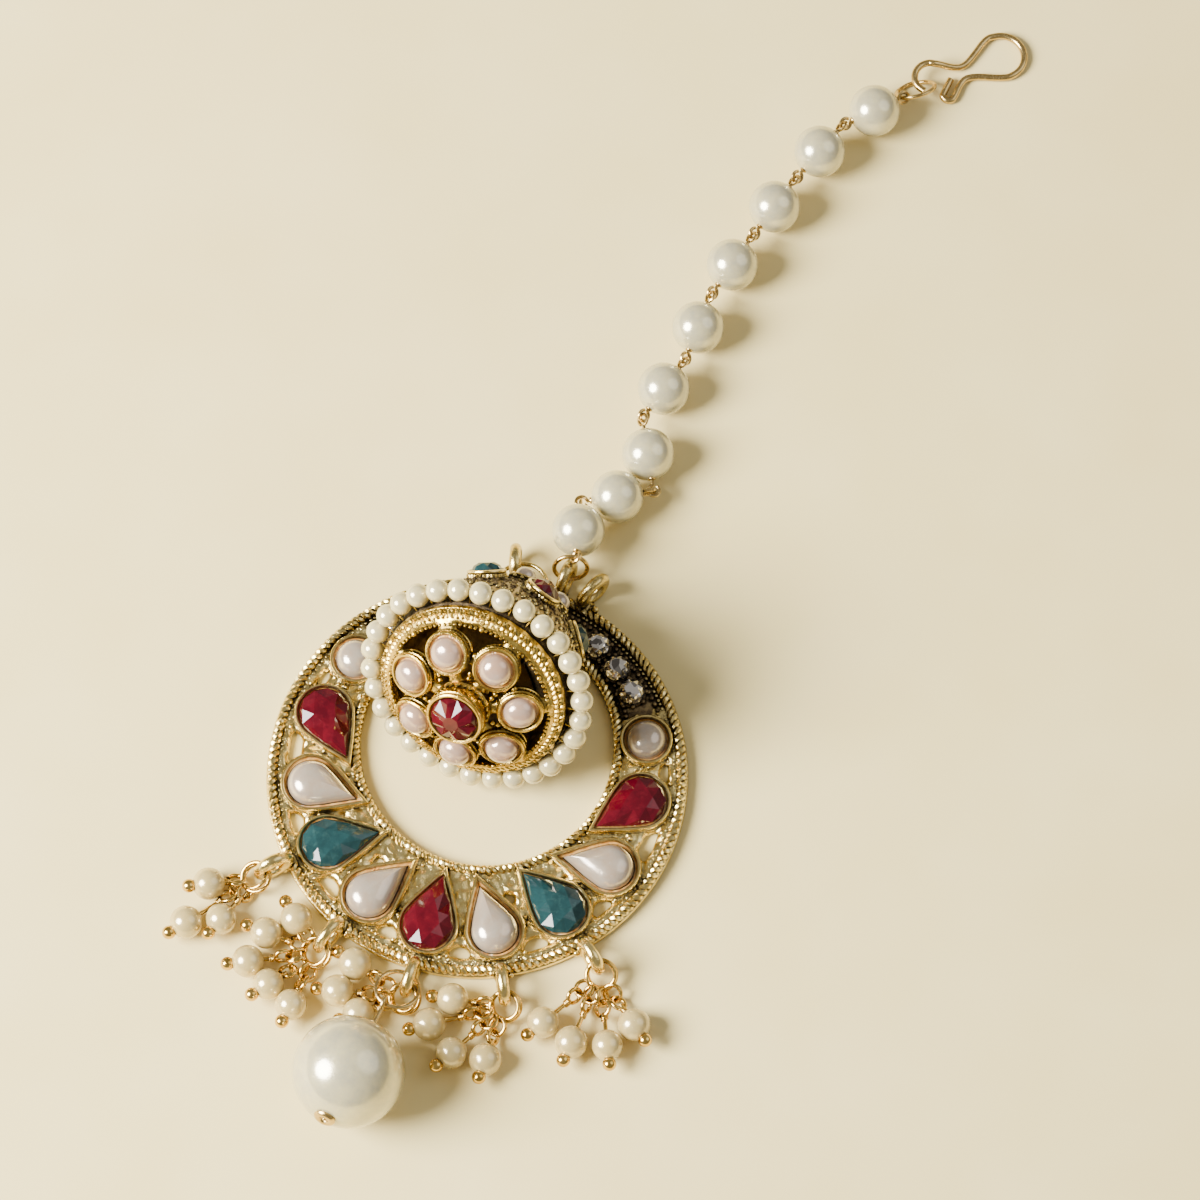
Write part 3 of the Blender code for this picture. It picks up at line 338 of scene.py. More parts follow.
SEED = pearl_material("ivory_seed_nacre", pale=(0.55, 0.475, 0.27), warm=(0.80, 0.67, 0.30),
                      spots=(0.70, 0.62, 0.40), roughness=(0.12, 0.24), crinkle=0.16, lustre=0.22)
LILAC = pearl_material("lilac_nacre", pale=(0.47, 0.405, 0.32), warm=(0.44, 0.29, 0.17),
                       spots=(0.60, 0.53, 0.45), roughness=(0.13, 0.24), crinkle=0.22, lustre=0.42)
PEACH = pearl_material("peach_nacre", pale=(0.46, 0.345, 0.27), warm=(0.50, 0.26, 0.13),
                       spots=(0.58, 0.46, 0.38), roughness=(0.13, 0.24), crinkle=0.18, lustre=0.34)
GLASS = {
    "ruby_glass": glass_material("ruby_cut_glass", colour=(0.074, 0.0020, 0.0065),
                                 deep=(0.046, 0.0010, 0.0044), edge=(0.11, 0.007, 0.012)),
    "teal_glass": glass_material("teal_cut_glass", colour=(0.011, 0.038, 0.040),
                                 deep=(0.007, 0.025, 0.027), edge=(0.032, 0.075, 0.070)),
    "smoky_crystal": crystal_material(),
}
GLUE = glue_material()


# Shapes

def unit(vector):
    return vector / np.linalg.norm(vector, axis=-1, keepdims=True)


def grid_faces(rows, columns, close_rows, close_columns):
    row, column = np.meshgrid(np.arange(rows if close_rows else rows - 1),
                              np.arange(columns if close_columns else columns - 1), indexing="ij")
    next_row = (row + 1) % rows
    next_column = (column + 1) % columns
    faces = (row * columns + column, row * columns + next_column, next_row * columns + next_column,
             next_row * columns + column)
    return np.stack(faces, -1).reshape(-1, 4)


def carried(path, closed):
    """Directions across a path that turn as little as they can along it."""
    if closed:
        tangent = unit(np.roll(path, -1, 0) - np.roll(path, 1, 0))
    else:
        tangent = unit(np.gradient(path, axis=0))
    start = np.cross(tangent[0], (0.0, 0.0, 1.0))
    if np.linalg.norm(start) < 0.2:
        start = np.cross(tangent[0], (1.0, 0.0, 0.0))
    normal = np.empty_like(path)
    normal[0] = unit(start)
    for i in range(1, len(path)):
        step = normal[i - 1] - tangent[i] * np.dot(normal[i - 1], tangent[i])
        normal[i] = unit(step)
    if closed:
        last = unit(normal[-1] - tangent[0] * np.dot(normal[-1], tangent[0]))
        slip = math.atan2(np.dot(np.cross(last, normal[0]), tangent[0]), np.dot(last, normal[0]))
        turn = slip * np.arange(len(path)) / len(path)
        other = np.cross(tangent, normal)
        normal = normal * np.cos(turn)[:, None] + other * np.sin(turn)[:, None]
    return tangent, normal, np.cross(tangent, normal)


def new_object(name, data):
    made = bpy.data.objects.new(name, data)
    bpy.context.scene.collection.objects.link(made)
    return made


class Shape:
    """Vertices in millimetres and faces with a finish number, gathered for one mesh."""

    def __init__(self):
        self.verts = []
        self.faces = []
        self.slots = []
        self.count = 0

    def add(self, verts, faces, slot=0, matrix=None):
        verts = np.asarray(verts, float).reshape(-1, 3)
        if matrix is not None:
            grid = np.array(matrix)
            verts = verts @ grid[:3, :3].T + grid[:3, 3]
        self.verts.append(verts)
        rows = [tuple(int(i) + self.count for i in face) for face in faces]
        self.faces += rows
        self.slots += [slot] * len(rows)
        self.count += len(verts)

    def loft(self, rings, slot=0, matrix=None, close=False, caps=False):
        """Faces between rings of points, with both ends filled where caps are asked for."""
        rings = np.asarray(rings, float)
        rows, columns = rings.shape[:2]
        faces = [tuple(face) for face in grid_faces(rows, columns, close, True)]
        verts = rings.reshape(-1, 3)
        if caps:
            for first in (0, (rows - 1) * columns):
                hub = len(verts)
                verts = np.vstack((verts, verts[first:first + columns].mean(axis=0)))
                faces += [(first + i, first + (i + 1) % columns, hub) for i in range(columns)]
        self.add(verts, faces, slot, matrix)

    def tube(self, path, radius, sides=8, closed=False, slot=0):
        path = np.asarray(path, float)
        _, normal, other = carried(path, closed)
        radius = np.broadcast_to(np.asarray(radius, float), (len(path),))[:, None, None]
        turn = np.arange(sides) * 2 * math.pi / sides
        rings = path[:, None] + radius * (np.cos(turn)[None, :, None] * normal[:, None]
                                          + np.sin(turn)[None, :, None] * other[:, None])
        self.loft(rings, slot, close=closed, caps=not closed)

    def turned(self, profile, steps, slot=0, matrix=None, closed=True):
        """A profile of (radius, height) turned about Z."""
        radius, height = np.asarray(profile, float).T
        turn = (np.arange(steps) * 2 * math.pi / steps)[:, None]
        verts = np.stack(np.broadcast_arrays(radius * np.cos(turn), radius * np.sin(turn), height), -1)
        self.add(verts, grid_faces(steps, len(profile), True, closed), slot, matrix)

    def ball(self, centre, width, axis=(0.0, 0.0, 1.0), steps=24, rings=14, slot=0, stretch=1.0):
        bend = np.linspace(0.0, math.pi, rings + 1)
        profile = np.stack((np.sin(bend) * width / 2, np.cos(bend) * width / 2 * stretch), -1)
        self.turned(profile, steps, slot, placed(centre, axis), closed=False)

    def finish(self, name, materials, node_names, sharp=35.0, flat=False):
        mesh = bpy.data.meshes.new(name)
        verts = np.concatenate(self.verts) * MM + SHIFT
        mesh.from_pydata(verts.tolist(), [], self.faces)
        mesh.polygons.foreach_set("material_index", np.array(self.slots, dtype=np.int32))
        work = bmesh.new()
        work.from_mesh(mesh)
        bmesh.ops.remove_doubles(work, verts=work.verts, dist=1e-7)
        bmesh.ops.recalc_face_normals(work, faces=work.faces)
        work.to_mesh(mesh)
        work.free()
        for material in materials:
            mesh.materials.append(material)
        if flat:
            mesh.shade_flat()
        else:
            mesh.shade_smooth()
            mesh.set_sharp_from_angle(angle=math.radians(sharp))
        made = new_object(name, mesh)
        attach(made, "root")
        if node_names:
            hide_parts(*node_names)


def placed(centre, axis=(0.0, 0.0, 1.0), across=(1.0, 0.0, 0.0)):
    z = Vector(axis).normalized()
    x = Vector(across)
    if abs(x.normalized().dot(z)) > 0.98:
        x = Vector((0.0, 1.0, 0.0))
    x = (x - z * x.dot(z)).normalized()
    return Matrix.Translation(Vector(centre)) @ Matrix((x, z.cross(x), z)).transposed().to_4x4()


def circle(radius, steps, centre=(0.0, 0.0, 0.0), matrix=None):
    turn = np.arange(steps) * 2 * math.pi / steps
    points = np.stack((radius * np.cos(turn), radius * np.sin(turn), np.zeros(steps)), -1) + np.array(centre)
    if matrix is None:
        return points
    grid = np.array(matrix)
    return points @ grid[:3, :3].T + grid[:3, 3]


def rope(shape, path, strand, pitch, sides):
    """Two strands twisted round a closed path."""
    length = np.linalg.norm(np.roll(path, -1, 0) - path, axis=1).sum()
    turns = max(1, round(length / pitch))
    samples = turns * 8
    share = np.arange(samples) / samples
    at = share * len(path)
    first = at.astype(int) % len(path)
    mix = (at - at.astype(int))[:, None]
    core = path[first] * (1 - mix) + path[(first + 1) % len(path)] * mix
    _, normal, other = carried(core, True)
    for start in (0.0, 0.5):
        turn = 2 * math.pi * (turns * share + start)
        offset = strand * 0.92 * (np.cos(turn)[:, None] * normal + np.sin(turn)[:, None] * other)
        shape.tube(core + offset, strand, sides, True)


def tear_outline(width, length, count):
    """Points round a tear from its tip on +Y: a round body at the origin drawn out to the tip."""
    radius = width / 2
    tip = length - radius
    spread_angle = math.acos(radius / tip)
    turn = np.linspace(math.pi / 2 + spread_angle, 2.5 * math.pi - spread_angle, 80)
    body = np.stack((radius * np.cos(turn), radius * np.sin(turn)), -1)
    share = np.linspace(0.0, 1.0, 30)[1:-1, None]
    rise = body[-1] * (1 - share) + np.array((0.0, tip)) * share
    rise[:, 0] *= 1 + 0.24 * share[:, 0] * (1 - share[:, 0])
    fall = rise[::-1] * np.array((-1.0, 1.0))
    loop = np.concatenate((np.array(((0.0, tip),)), fall, body, rise))
    return resampled(loop, count)


def resampled(loop, count):
    closed = np.concatenate((loop, loop[:1]))
    length = np.concatenate(((0.0,), np.cumsum(np.linalg.norm(np.diff(closed, axis=0), axis=1))))
    wanted = np.arange(count) * length[-1] / count
    return np.stack([np.interp(wanted, length, closed[:, k]) for k in range(2)], -1)


def round_outline(width, count):
    turn = np.arange(count) * 2 * math.pi / count + math.pi / 2
    return np.stack((width / 2 * np.cos(turn), width / 2 * np.sin(turn)), -1)


def ring_at(outline, half, offset, height, ripple=0.0):
    """The outline moved out by an offset, at a height, with every other point pushed out by a ripple."""
    share = (half + offset) / half
    points = outline * share
    if ripple:
        points = points * (1 + ripple / half * (np.arange(len(outline)) % 2))[:, None]
    return np.concatenate((points, np.full((len(points), 1), height)), 1)


MILLING = 0.10


def setting(shape, outline, half, matrix, height=SETTING_HEIGHT, floor=0.62, wall=SETTING_WALL, foot=0.12):
    """A bezel cup: a foot, a milled side, a polished rolled edge and a pocket."""
    side = ((foot, 0.0, 0.0), (foot, 0.16, 0.0), (0.0, 0.24, 0.0), (0.02, 0.30, MILLING),
            (0.02, 0.62, MILLING), (-0.05, 0.68, 0.0), (0.02, 0.74, 0.0), (0.05, 0.86, 0.0),
            (0.01, 0.97, 0.0), (-0.10, 1.03, 0.0), (-wall * 0.62, 1.03, 0.0), (-wall * 0.95, 0.95, 0.0),
            (-wall, 0.84, 0.0))
    rings = [ring_at(outline, half, offset, share * height, ripple) for offset, share, ripple in side]
    rings.append(ring_at(outline, half, -wall, floor))
    shape.loft(rings, 0, matrix, caps=True)


def glue(shape, outline, half, matrix, low, wall=SETTING_WALL):
    """A meniscus of glue between the pocket's wall and its stone."""
    count = len(outline)
    wave = 0.10 * np.sin(np.arange(count) * 4 * math.pi / count + RANDOM.uniform(0, 6))
    wave += RANDOM.normal(0.0, 0.03, count)
    rings = []
    for offset, rise in ((0.03, 0.22), (-0.08, 0.06), (-0.24, 0.10)):
        ring = ring_at(outline, half, -wall + offset, low + rise)
        ring[:, 2] += wave
        rings.append(ring)
    shape.loft(rings, 0, matrix)


def cabochon(name, material, outline, half, inset, matrix, bottom, top, replaced=()):
    """A domed stone: upright at its girdle and rounded over to its crown."""
    girdle = bottom + 0.22 * (top - bottom)
    share = (half - inset) / half
    rings = [ring_at(outline * share * 0.97, half, 0.0, bottom)]
    for bend in np.linspace(0.0, 0.5 * math.pi, 12)[:-1]:
        height = girdle + (top - girdle) * math.sin(bend)
        rings.append(ring_at(outline * share * math.cos(bend) ** 0.8, half, 0.0, height))
    rings.append(ring_at(outline * 0.02, half, 0.0, top))
    stone = Shape()
    stone.loft(rings, 0, matrix, caps=True)
    stone.finish(name, (material,), replaced, sharp=80.0)


def cut_stone(name, record_slot, outline_of, share, matrix, levels, mains, table=0.50, replaced=()):
    """A cut stone: a table, star facets, kites and girdle facets above a plain lower edge.

    The levels are the heights of its lower edge, its girdle and its table."""
    bottom, girdle, top = levels
    sides = 2 * mains
    fine = outline_of(4 * mains)
    middle = girdle + 0.60 * (top - girdle)
    rows = ((fine[::2], 0.95, bottom), (fine[::2], 1.0, girdle), (fine[2::4], 0.86, middle),
            (fine[::4], table, top))
    verts = np.concatenate([np.concatenate((points * share * size, np.full((len(points), 1), height)), 1)
                            for points, size, height in rows])
    faces = []
    for i in range(sides):
        after = (i + 1) % sides
        faces.append((i, after, sides + after, sides + i))
    first_shoulder = 2 * sides
    first_crown = first_shoulder + mains
    for i in range(mains):
        after = (i + 1) % mains
        before = (i - 1) % mains
        left = sides + 2 * i
        centre = sides + (2 * i + 1) % sides
        right = sides + (2 * i + 2) % sides
        faces.append((left, centre, first_shoulder + i))
        faces.append((centre, right, first_shoulder + i))
        faces.append((first_crown + i, first_shoulder + before, left, first_shoulder + i))
        faces.append((first_crown + i, first_shoulder + i, first_crown + after))
    faces.append(tuple(first_crown + i for i in range(mains)))
    faces.append(tuple(range(sides)))
    stone = Shape()
    stone.add(verts, faces, 0, matrix)
    stone.finish(name, (GLASS[record_slot],), replaced, flat=True)


PLATE_EDGE_HEIGHT = 0.40
PLATE_ROUNDING = 0.55


def web_plate(shape, reach, step, field, top_of, matrix=None, bend=None):
    """Pierced cast metal: the part of the plane where field is negative, as a soft-edged plate.

    field gives the distance to the metal's edge, top_of the height of its upper face, and bend carries the
    finished points to a curved seat."""
    line = np.arange(-reach, reach + step, step)
    x, y = np.meshgrid(line, line, indexing="ij")
    distance = field(x, y)
    slope_x, slope_y = np.gradient(distance, step)
    steepness = slope_x ** 2 + slope_y ** 2 + 1e-6
    solid = distance < 0.0
    cells = solid[:-1, :-1] | solid[1:, :-1] | solid[:-1, 1:] | solid[1:, 1:]
    row, column = np.nonzero(cells)
    outside = np.clip(distance, 0.0, 1.3 * step)
    x = x - slope_x * outside / steepness
    y = y - slope_y * outside / steepness
    depth = np.clip(-distance / PLATE_ROUNDING, 0.0, 1.0)
    soft = np.sqrt(1.0 - (1.0 - depth) ** 2)
    top = PLATE_EDGE_HEIGHT + (top_of(x, y) - PLATE_EDGE_HEIGHT) * soft
    under = PLATE_EDGE_HEIGHT * (1.0 - soft)
    count = len(line)
    corner = row * count + column
    quads = np.stack((corner, corner + count, corner + count + 1, corner + 1), -1)
    used = np.unique(quads)
    number = np.zeros(count * count, dtype=int)
    number[used] = np.arange(len(used))
    quads = number[quads]
    layers = [np.stack([grid.reshape(-1)[used] for grid in (x, y, height)], -1)
              for height in (top, under)]
    verts = np.concatenate(layers)
    if bend is not None:
        verts = bend(verts)
    shape.add(verts, np.concatenate((quads, quads[:, ::-1] + len(used))), 0, matrix)


def outline_distance(x, y, outline, matrix):
    """How far points of the plane are from an outline that is seen whole from its middle."""
    grid = np.array(matrix)
    offset_x, offset_y = x - grid[0, 3], y - grid[1, 3]
    local_x = offset_x * grid[0, 0] + offset_y * grid[1, 0]
    local_y = offset_x * grid[0, 1] + offset_y * grid[1, 1]
    angle = np.arctan2(outline[:, 1], outline[:, 0])
    order = np.argsort(angle)
    reach = np.hypot(*outline.T)[order]
    radius = np.interp(np.arctan2(local_y, local_x), angle[order], reach, period=2 * math.pi)
    return np.hypot(local_x, local_y) - radius


def bar_distance(x, y, start, end, width):
    along = np.array(end[:2], float) - np.array(start[:2], float)
    share = ((x - start[0]) * along[0] + (y - start[1]) * along[1]) / (along @ along)
    share = np.clip(share, 0.0, 1.0)
    return np.hypot(x - start[0] - share * along[0], y - start[1] - share * along[1]) - width / 2


def merged(fields, soft):
    """The union of distance fields with soft inner corners."""
    return -soft * np.logaddexp.reduce([-field / soft for field in fields], axis=0)


def about_axis(turn, radius, height):
    return Vector((radius * math.cos(turn), radius * math.sin(turn), height))


def granules(shape, points, width, slot=0, steps=8, rings=5):
    """Small uneven balls of cast metal, none of them lower than the floor."""
    for point in points:
        size = width * RANDOM.uniform(0.9, 1.1)
        at = (point[0], point[1], max(point[2], size / 2 + 0.03))
        shape.ball(at, size, (0.0, 0.0, 1.0), steps, rings, slot)


def bead_ring(shape, seat, count, radius, height, width, steps=8, rings=5):
    """Beads in a ring about the middle of a seat."""
    for k in range(count):
        at = seat @ about_axis(2 * math.pi * k / count, radius, height)
        granules(shape, (at,), width, 0, steps, rings)


# The crescent

SIDES = (("right", 1.0), ("left", -1.0))
TO_HOLE = np.array((0.0, HOLE_OFFSET, 0.0))
HOLE_RIM_MIDDLE = HOLE_RADIUS + HOLE_RIM_WIDTH / 2
OUTER_WEB_RADIUS = 21.6

# Outlines of the outer flange and of the hole's rim: radius or distance from the rim's middle, and height
FLANGE = ((22.35, 0.0), (22.84, 0.0), (22.98, 0.20), (22.99, 0.50), (22.88, 0.72), (22.70, 0.78),
          (22.30, 0.72), (21.2, 0.70), (21.05, 0.35), (21.15, 0.0))
HOLE_RIM = ((-0.62, 0.15), (-0.45, 0.0), (0.45, 0.0), (0.62, 0.2), (0.60, 0.72), (-0.60, 0.72))

# Bridges from the rim of the hole to the web: angle, radius of the outer end, width
BRIDGES = ((11.5, 17.6, 2.9), (35.0, 17.6, 3.0), (58.5, 17.6, 3.0), (84.0, 17.8, 3.0), (108.0, 18.0, 2.8),
           (124.0, 17.6, 3.0))


def polar(angle, radius, height=0.0):
    turn = math.radians(angle)
    return np.array((radius * math.sin(turn), -radius * math.cos(turn), height))


def tear_matrix(angle, lean):
    inward = Vector(polar(angle + 180.0, 1.0))
    tip = Matrix.Rotation(math.radians(lean), 3, "Z") @ inward
    return placed(polar(angle, TEAR_RING_RADIUS), (0, 0, 1), (tip.y, -tip.x, 0.0))


def every_tear():
    for side, sign in SIDES:
        for name, kind, angle, lean in TEARS:
            if angle == 0.0 and side == "left":
                continue
            label = name if angle == 0.0 else name + "_" + side
            yield label, kind, tear_matrix(sign * angle, sign * lean)


def round_seat(sign):
    return Matrix.Translation(polar(sign * ROUND_PEARL_ANGLE, ROUND_RING_RADIUS))


def settings_of_side(sign):
    """Angle and radius of the settings of one half, from the foot of the axis up."""
    places = [(sign * angle, TEAR_RING_RADIUS) for _, _, angle, _ in TEARS]
    return places + [(sign * ROUND_PEARL_ANGLE, ROUND_RING_RADIUS)]


def crescent_web():
    """The distance field and the height of the cast web between the settings and the two rims."""
    tear = tear_outline(TEAR_WIDTH, TEAR_LENGTH, 200)
    small = round_outline(ROUND_SETTING_WIDTH, 90)
    seats = [(tear, matrix) for _, _, matrix in every_tear()]
    seats += [(small, round_seat(sign)) for _, sign in SIDES]
    bars = []
    for _, sign in SIDES:
        places = settings_of_side(sign)
        for near, far in zip(places, places[1:]):
            bars.append((polar(near[0], near[1] + 0.6), polar(far[0], far[1] + 0.6), 2.3))
        for angle, radius in places:
            bars.append((polar(angle, radius + 2.2), polar(angle, OUTER_WEB_RADIUS), 4.2))
        for angle, outer, width in BRIDGES:
            bars.append((polar(sign * angle, outer), hole_point(sign * angle, HOLE_RIM_MIDDLE), width))
        bars.append((polar(sign * 120.0, 20.0), polar(sign * 126.0, OUTER_WEB_RADIUS), 3.0))

    def seats_field(x, y, grown=0.0):
        return [outline_distance(x, y, outline, matrix) - grown for outline, matrix in seats]

    def field(x, y):
        radius = np.hypot(x, y)
        from_hole = np.hypot(x, y - HOLE_OFFSET)
        fields = seats_field(x, y, 0.22) + [bar_distance(x, y, *row) for row in bars]
        fields.append(np.abs(radius - OUTER_WEB_RADIUS) - 0.85)
        fields.append(np.abs(from_hole - HOLE_RIM_MIDDLE - 1.1) - 1.7)
        joined = np.maximum(merged(fields, 0.24), radius - 22.4)
        joined = np.maximum(joined, HOLE_RADIUS + 0.1 - from_hole)
        beyond = np.degrees(np.arctan2(np.abs(x), -y)) - 129.0
        return np.maximum(joined, beyond * 0.3)

    def top_of(x, y):
        ripple = 0.13 * np.sin(2.9 * x + 1.3 * np.sin(1.7 * y)) * np.sin(2.6 * y + 0.9 * np.sin(2.1 * x))
        return np.where(np.min(seats_field(x, y), axis=0) < -0.35, 0.50, 1.06 + ripple)

    return field, top_of


def hole_point(angle, radius):
    return polar(angle, radius) + TO_HOLE


def cast_loop(shape, foot, outward, turn, radius):
    """A cast loop standing on the rim, with its foot and some solder round it."""
    foot = np.array(foot)
    outward = np.array(outward)
    reach = Matrix.Rotation(math.radians(turn), 3, "Z") @ Vector(outward)
    centre = foot + outward * (radius - LOOP_WIRE / 2 + 0.35)
    centre[2] = radius + LOOP_WIRE / 2
    loop = circle(radius, 40, matrix=placed(centre, (reach.y, -reach.x, 0.0), (0.0, 0.0, 1.0)))
    swell = 1.0 + 0.07 * np.sin(np.arange(40) * 2 * math.pi / 40 * 3 + RANDOM.uniform(0, 6))
    shape.tube(loop, LOOP_WIRE / 2 * swell, 14, True)
    stem = np.array((foot - outward * 1.1, foot + outward * 0.3, centre - np.array(reach) * (radius - 0.1)))
    stem[:, 2] = (0.86, 0.95, 1.5)
    shape.tube(stem, (0.82, 0.80, 0.60), 12)
    blobs = [foot + outward * RANDOM.uniform(-0.5, 0.2)
             + np.array((-outward[1], outward[0], 0.0)) * RANDOM.uniform(-1.3, 1.3)
             + np.array((0.0, 0.0, RANDOM.uniform(0.9, 1.5))) for _ in range(5)]
    granules(shape, blobs, 0.75, 0, 10, 6)


def crescent_rims(shape):
    """The outer rim with a flange, a rope and beads, and the rim of the hole with its rope."""
    shape.turned(FLANGE, 200)
    rope(shape, circle(22.30, 400, (0.0, 0.0, 1.12)), strand=0.32, pitch=1.55, sides=7)
    beads = [polar(360.0 * k / 230 + RANDOM.uniform(-0.3, 0.3), 21.52, 0.98) for k in range(230)]
    granules(shape, beads, 0.40, 0, 7, 4)
    rim = [(HOLE_RIM_MIDDLE + across, height) for across, height in HOLE_RIM]
    shape.turned(rim, 160, matrix=Matrix.Translation(TO_HOLE))
    rope(shape, circle(HOLE_RIM_MIDDLE, 320, (0.0, HOLE_OFFSET, 1.02)), strand=0.31, pitch=1.40, sides=7)


def scattered(centre, reach, top, count):
    """Places of solder blobs about a point of the web."""
    return [centre + RANDOM.normal(0.0, reach, 3) * (1, 1, 0) + (0, 0, RANDOM.uniform(0.7, top))
            for _ in range(count)]


def crescent_settings(shape):
    """The bezels, and solder blobs where they meet each other and the rims."""
    tear = tear_outline(TEAR_WIDTH, TEAR_LENGTH, 120)
    round_setting = round_outline(ROUND_SETTING_WIDTH, 90)
    for _, _, matrix in every_tear():
        setting(shape, tear, TEAR_WIDTH / 2, matrix)
    for _, sign in SIDES:
        setting(shape, round_setting, ROUND_SETTING_WIDTH / 2, round_seat(sign))
        places = settings_of_side(sign)
        for near, far in zip(places, places[1:]):
            granules(shape, scattered((polar(*near) + polar(*far)) / 2, 0.5, 1.15, 7), 0.62, 0, 10, 6)
        for angle, _ in places:
            blobs = []
            for _ in range(8):
                turned = angle + RANDOM.uniform(-9, 9)
                blobs.append(polar(turned, RANDOM.uniform(20.7, 21.25), RANDOM.uniform(0.75, 1.15)))
            granules(shape, blobs, 0.52, 0, 9, 6)
        for angle in (11.0, 35.0, 58.0, 84.0, 107.0):
            blobs = scattered(hole_point(sign * angle, HOLE_RIM_MIDDLE + 0.75), 0.35, 1.1, 4)
            granules(shape, blobs, 0.52, 0, 9, 6)


BACK_LIFTS = (0.8, 1.0, 0.92, 1.0, 0.8)


def crescent_back(shape):
    """The patinated upper part with its two rows of beads."""
    start = ROUND_PEARL_ANGLE + 8.0
    rows = []
    for angle in np.linspace(start, 360.0 - start, 90):
        outer = polar(angle, CRESCENT_RADIUS - 1.4)
        inner = TO_HOLE + unit(outer - TO_HOLE) * (HOLE_RADIUS + 0.9)
        ridge = BACK_HEIGHT * (1.0 + 0.10 * math.sin(angle * 1.9))
        row = [inner, inner * 0.75 + outer * 0.25, (inner + outer) / 2, inner * 0.25 + outer * 0.75, outer]
        top = [point * (1, 1, 0) + (0, 0, ridge * lift) for point, lift in zip(row, BACK_LIFTS)]
        rows.append(top + [point * (1, 1, 0) for point in reversed(row)])
    shape.loft(rows, 1, caps=True)
    bead_middle = TO_HOLE + (0.0, 0.0, 1.1)
    for angle in np.arange(start + 1.0, 360.0 - start, 2.1):
        outer = polar(angle, 20.95, 1.1)
        inner = bead_middle + unit(outer - bead_middle) * (HOLE_RADIUS + 1.75)
        granules(shape, (outer, inner), 0.55, 1)


def crystal_collars(shape):
    """A wire collar with eight beads round each crystal."""
    for _, sign in SIDES:
        for angle, radius in CRYSTALS:
            for k in range(8):
                turn = 2 * math.pi * (k + 0.5) / 8
                out = np.array((math.cos(turn), math.sin(turn), 0.0))
                granules(shape, (polar(sign * angle, radius, 1.25) + 1.62 * out,), 0.62, 1)
            collar = circle(1.45, 28, matrix=Matrix.Translation(polar(sign * angle, radius, 1.15)))
            shape.tube(collar, 0.2, 6, True, 1)


def crescent():
    shape = Shape()
    crescent_rims(shape)
    crescent_settings(shape)
    web_plate(shape, CRESCENT_RADIUS, 0.25, *crescent_web())
    for index, _ in CLUSTERS:
        outward = polar(LOWER_LOOP_SPACING * index, 1.0)
        cast_loop(shape, outward * CRESCENT_RADIUS, outward, 0.0, LOWER_LOOP_RADIUS)
    for _, across, turn in UPPER_LOOPS:
        foot = np.array((across, math.sqrt(CRESCENT_RADIUS ** 2 - across ** 2), 0.0))
        cast_loop(shape, foot, unit(foot), turn, UPPER_LOOP_RADIUS)
    crescent_back(shape)
    crystal_collars(shape)
    shape.finish("crescent_casting", (GOLD, DARK), ("crescent_frame",))


def crescent_stones():
    """The stones of the crescent with the glue in their seams."""
    outline_of = partial(tear_outline, TEAR_WIDTH, TEAR_LENGTH)
    tear = outline_of(96)
    ring = round_outline(ROUND_SETTING_WIDTH, 72)
    half = TEAR_WIDTH / 2
    seam = Shape()
    for label, kind, matrix in every_tear():
        glue(seam, tear, half, matrix, low=1.42)
        if kind == "pearl":
            cabochon(label + "_cabochon", LILAC, tear, half, SETTING_WALL + 0.34, matrix, STONE_BOTTOM,
                     top=3.40, replaced=(label,))
        else:
            record_slot = "teal_glass" if label.startswith("green") else "ruby_glass"
            share = (half - SETTING_WALL - 0.12) / half
            cut_stone(label + "_cut_stone", record_slot, outline_of, share, matrix,
                      (STONE_BOTTOM, 1.95, 2.98), mains=7, table=0.46, replaced=(label,))
    half = ROUND_SETTING_WIDTH / 2
    for side, sign in SIDES:
        matrix = round_seat(sign)
        glue(seam, ring, half, matrix, low=1.42)
        label = "round_pearl_" + side
        cabochon(label + "_cabochon", LILAC, ring, half, SETTING_WALL + 0.26, matrix, STONE_BOTTOM, top=3.45,
                 replaced=(label,))
        for number, (angle, radius) in enumerate(CRYSTALS, 1):
            label = "crystal_" + side + "_" + str(number)
            turn = math.radians(uneven(0, 45))
            matrix = Matrix.Translation(polar(sign * angle, radius)) @ Matrix.Rotation(turn, 4, "Z")
            cut_stone(label + "_chaton", "smoky_crystal", partial(round_outline, CRYSTAL_WIDTH), 0.97,
                      matrix, (CRYSTAL_LOW, 1.75, 2.75), mains=8, table=0.55, replaced=(label,))
    seam.finish("setting_glue", (GLUE,), ())


# The bell

# Rows of beads on the bell's side: height as a share of its depth, width of a bead, count
BELL_BEAD_ROWS = ((0.985, 0.6, 16), (0.93, 0.55, 26), (0.70, 0.45, 60), (0.34, 0.5, 84), (0.24, 0.62, 72))
BELL_STONES = 8
BELL_TEAR_WIDTH = 4.2
BELL_TEAR_LENGTH = 6.3
BELL_PEARL_WIDTH = 2.9

# Outlines of the underside's rim and of the ruby's collar: radius, height
BASE_RIM = ((9.15, 0.15), (9.25, -0.55), (9.7, -0.42), (10.15, -0.35), (10.42, -0.12), (10.45, 0.35),
            (10.1, 0.75), (9.3, 0.7))
RUBY_COLLAR = ((2.2, 0.0), (3.1, 0.0), (3.15, 0.8), (2.85, 1.2), (2.8, 1.9), (2.2, 1.9))
BASE_CUP_WIDTH = 4.9
BASE_CUP_HALF = 2.30
BASE_RUBY_WIDTH = 6.2
PLATE_SINK = 0.35


def bell_matrix():
    tilt = math.radians(BELL_TILT)
    turn = math.radians(BELL_TURN)
    up = (-math.sin(turn) * math.cos(tilt), math.cos(turn) * math.cos(tilt), -math.sin(tilt))
    return placed(BELL_PLACE, up, (1, 0, 0))


